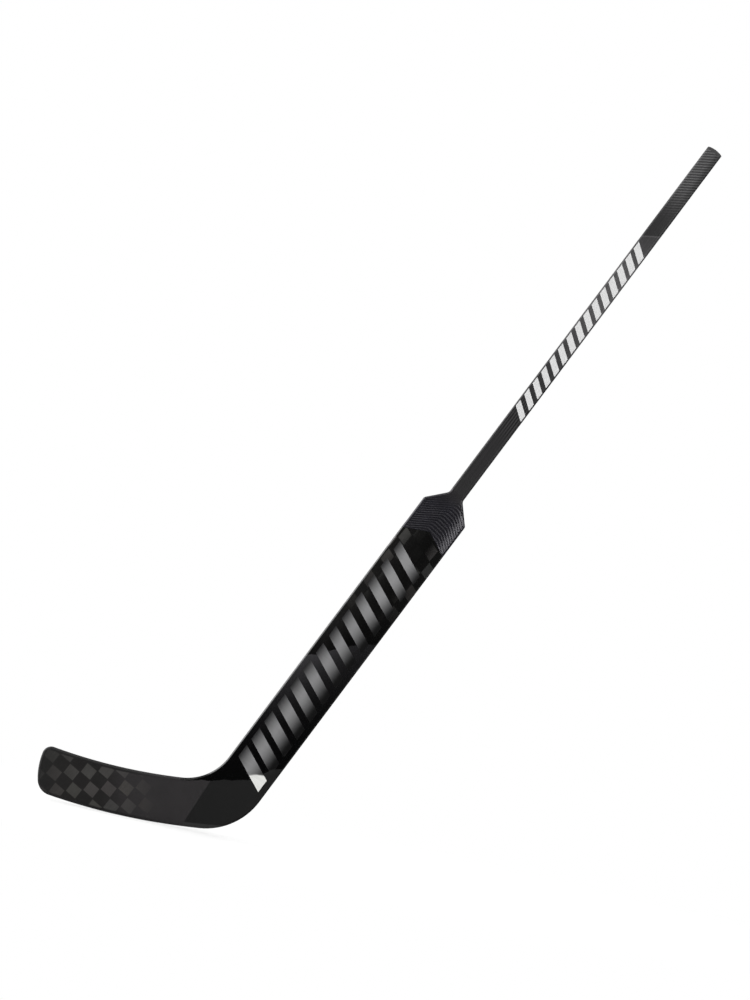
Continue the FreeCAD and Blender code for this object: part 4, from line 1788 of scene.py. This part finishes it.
@dataclass
class Studio:
    """The floor, the light and the camera.

    Attributes:
        bearings: the stick's directions.
        aim: the point that the camera looks at.
        picture_height: what the picture covers at the stick, top to bottom.
        lens: the camera's focal length, in millimetres.
        lamps: the lamps.
        floor_reach: half the floor's length and width.
        floor_steps: corners of the floor.
        floor_white: how pale the floor is.
        floor_dull: its roughness.
        floor_fade: where the floor fades into the background, as shares of its reach.
        shadow_share: how much of the lit floor, with the stick's shadow, shows before that.
        ambient: strength of the room's light on the stick.
        room_dim: what is left of the room where the stick mirrors it dimmed.
        room_run: how squarely before a face the room gets dim.
        flag_share: how much of that dimness the room has to the right.
        flag_run: how far to the right it gets dim.
    """

    bearings: Bearings
    aim: Triple = (-0.1535, 0.0, -0.0716)
    picture_height: float = 1.7356
    lens: float = 200.0
    lamps: tuple[Lamp, ...] = (
        Lamp("right_softbox", (1.6, -2.4, 0.6), (0.5, 0.9), 31.0),
        Lamp("top_softbox", (-0.5, -2.0, 2.2), (2.0, 0.6), 16.0),
        Lamp("left_panel", (-2.3, 0.3, 0.6), (2.6, 2.4), 80.0),
        Lamp("back_softbox", (1.2, 2.6, 1.6), (1.6, 1.6), 40.0),
    )
    floor_reach: Span = (1.35, 0.85)
    floor_steps: int = 96
    floor_white: float = 0.9
    floor_dull: float = 0.9
    floor_fade: Span = (0.45, 0.98)
    shadow_share: float = 0.35
    ambient: float = 0.52
    room_dim: float = 0.03
    room_run: Span = (0.3, 0.75)
    flag_share: float = 0.85
    flag_run: Span = (0.15, 0.6)

    def build(self) -> None:
        """Sets up everything round the stick."""
        bpy.context.scene.view_settings.view_transform = "Standard"
        self.floor()
        self.world()
        for lamp in self.lamps:
            self.hang(lamp)
        self.camera()

    def floor(self) -> None:
        """Lays a pale floor under the sole that keeps the stick's shadow."""
        low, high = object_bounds()
        middle = Vector(((low.x + high.x) / 2.0, 0.0, low.z))
        turn = np.linspace(0.0, math.tau, self.floor_steps, endpoint=False)
        reach = np.array(self.floor_reach)
        rim = np.stack([np.cos(turn) * reach[0], np.sin(turn) * reach[1], np.zeros_like(turn)], axis=1)
        plane = bpy.data.meshes.new("studio_floor")
        plane.from_pydata((rim + np.array(middle)).tolist(), [], [tuple(range(self.floor_steps))])
        plane.materials.append(self.floor_finish(middle))
        floor = bpy.data.objects.new("studio_floor", plane)
        floor.visible_glossy = False
        bpy.context.scene.collection.objects.link(floor)
        floor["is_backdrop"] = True
        LOG.info("laid the floor at %.4f", low.z)

    def floor_finish(self, middle: Vector) -> bpy.types.Material:
        """Makes the floor's finish, which fades into the white background.

        Args:
            middle: the floor's middle.

        Returns:
            The material.
        """
        sheet = Sheet("studio_pale_floor")
        sheet.set("Base Color", (self.floor_white, self.floor_white, self.floor_white, 1.0))
        sheet.set("Roughness", self.floor_dull)
        sheet.set("Specular IOR Level", 0.0)
        glow = sheet.add("ShaderNodeEmission")
        sides = [
            sheet.math("DIVIDE", sheet.math("SUBTRACT", sheet.reach(way), middle.dot(way)), size)
            for way, size in zip((Vector((1.0, 0.0, 0.0)), DEPTH_AXIS), self.floor_reach)
        ]
        outward = sheet.math("SQRT", sheet.math("ADD", *(sheet.times(side, side) for side in sides)))
        far = sheet.step(outward, *self.floor_fade, 1.0 - self.shadow_share, 1.0)
        share = sheet.times(far, sheet.rays(*SHOWN_RAYS))
        shaders = (sheet.shader.outputs[0], glow.outputs[0])
        blend = sheet.add("ShaderNodeMixShader", *enumerate((share, *shaders)))
        sheet.feed(sheet.nodes["Material Output"].inputs["Surface"], blend.outputs[0])
        return sheet.material

    def world(self) -> None:
        """Makes the background white, and the room dim where the faces and the right edges mirror it."""
        world = bpy.data.worlds.new("studio_white")
        bpy.context.scene.world = world
        world.use_nodes = True
        wiring = Wiring(world.node_tree, "Generated")
        before_face = wiring.step(wiring.math("ABSOLUTE", wiring.reach(DEPTH_AXIS)), *self.room_run)
        beside = wiring.step(wiring.reach(self.bearings.right), *self.flag_run)
        dim = wiring.math("MAXIMUM", before_face, wiring.times(beside, self.flag_share))
        lost = wiring.times(wiring.rays("Is Glossy Ray"), dim, 1.0 - self.room_dim)
        shown = wiring.step(wiring.rays(*SHOWN_RAYS), 0.0, 1.0, self.ambient, 1.0)
        ground = wiring.nodes["Background"]
        wiring.feed(ground.inputs["Color"], (*WHITE, 1.0))
        wiring.feed(ground.inputs["Strength"], wiring.math("SUBTRACT", shown, lost))

    def hang(self, lamp: Lamp) -> None:
        """Hangs a lamp.

        Args:
            lamp: what it is like.
        """
        data = bpy.data.lights.new(lamp.name, "AREA")
        data.shape = "RECTANGLE"
        data.size, data.size_y = lamp.size
        data.energy = lamp.power
        light = bpy.data.objects.new(lamp.name, data)
        offset = Vector(lamp.offset)
        light.location = Vector(self.aim) + offset
        light.rotation_euler = (-offset).to_track_quat("-Z", "Y").to_euler()
        light.visible_camera = False
        bpy.context.scene.collection.objects.link(light)

    def camera(self) -> None:
        """Sets the camera square to the paddle, turned so that the stick lies as in its picture."""
        data = bpy.data.cameras.new("picture_camera")
        data.lens = self.lens
        away = self.picture_height / data.sensor_width * self.lens
        camera = bpy.data.objects.new("picture_camera", data)
        turn = Matrix((self.bearings.level, self.bearings.rise, -DEPTH_AXIS)).transposed()
        camera.matrix_world = Matrix.Translation(Vector(self.aim) - DEPTH_AXIS * away) @ turn.to_4x4()
        bpy.context.scene.collection.objects.link(camera)
        bpy.context.scene.camera = camera


def main() -> None:
    """Builds the stick and the studio."""
    logging.basicConfig(level=logging.INFO)
    bearings = Bearings.from_record(frame["record"], PICTURE_TURN)
    heel_line = HeelLine(bearings)
    sole = Sole()
    Shaft(bearings).build()
    Shoulder(bearings).build()
    Paddle(bearings, heel_line, sole).build()
    Blade(bearings, heel_line, sole).build()
    Inside(bearings).build()
    Studio(bearings).build()


if __name__ == "__main__":
    main()
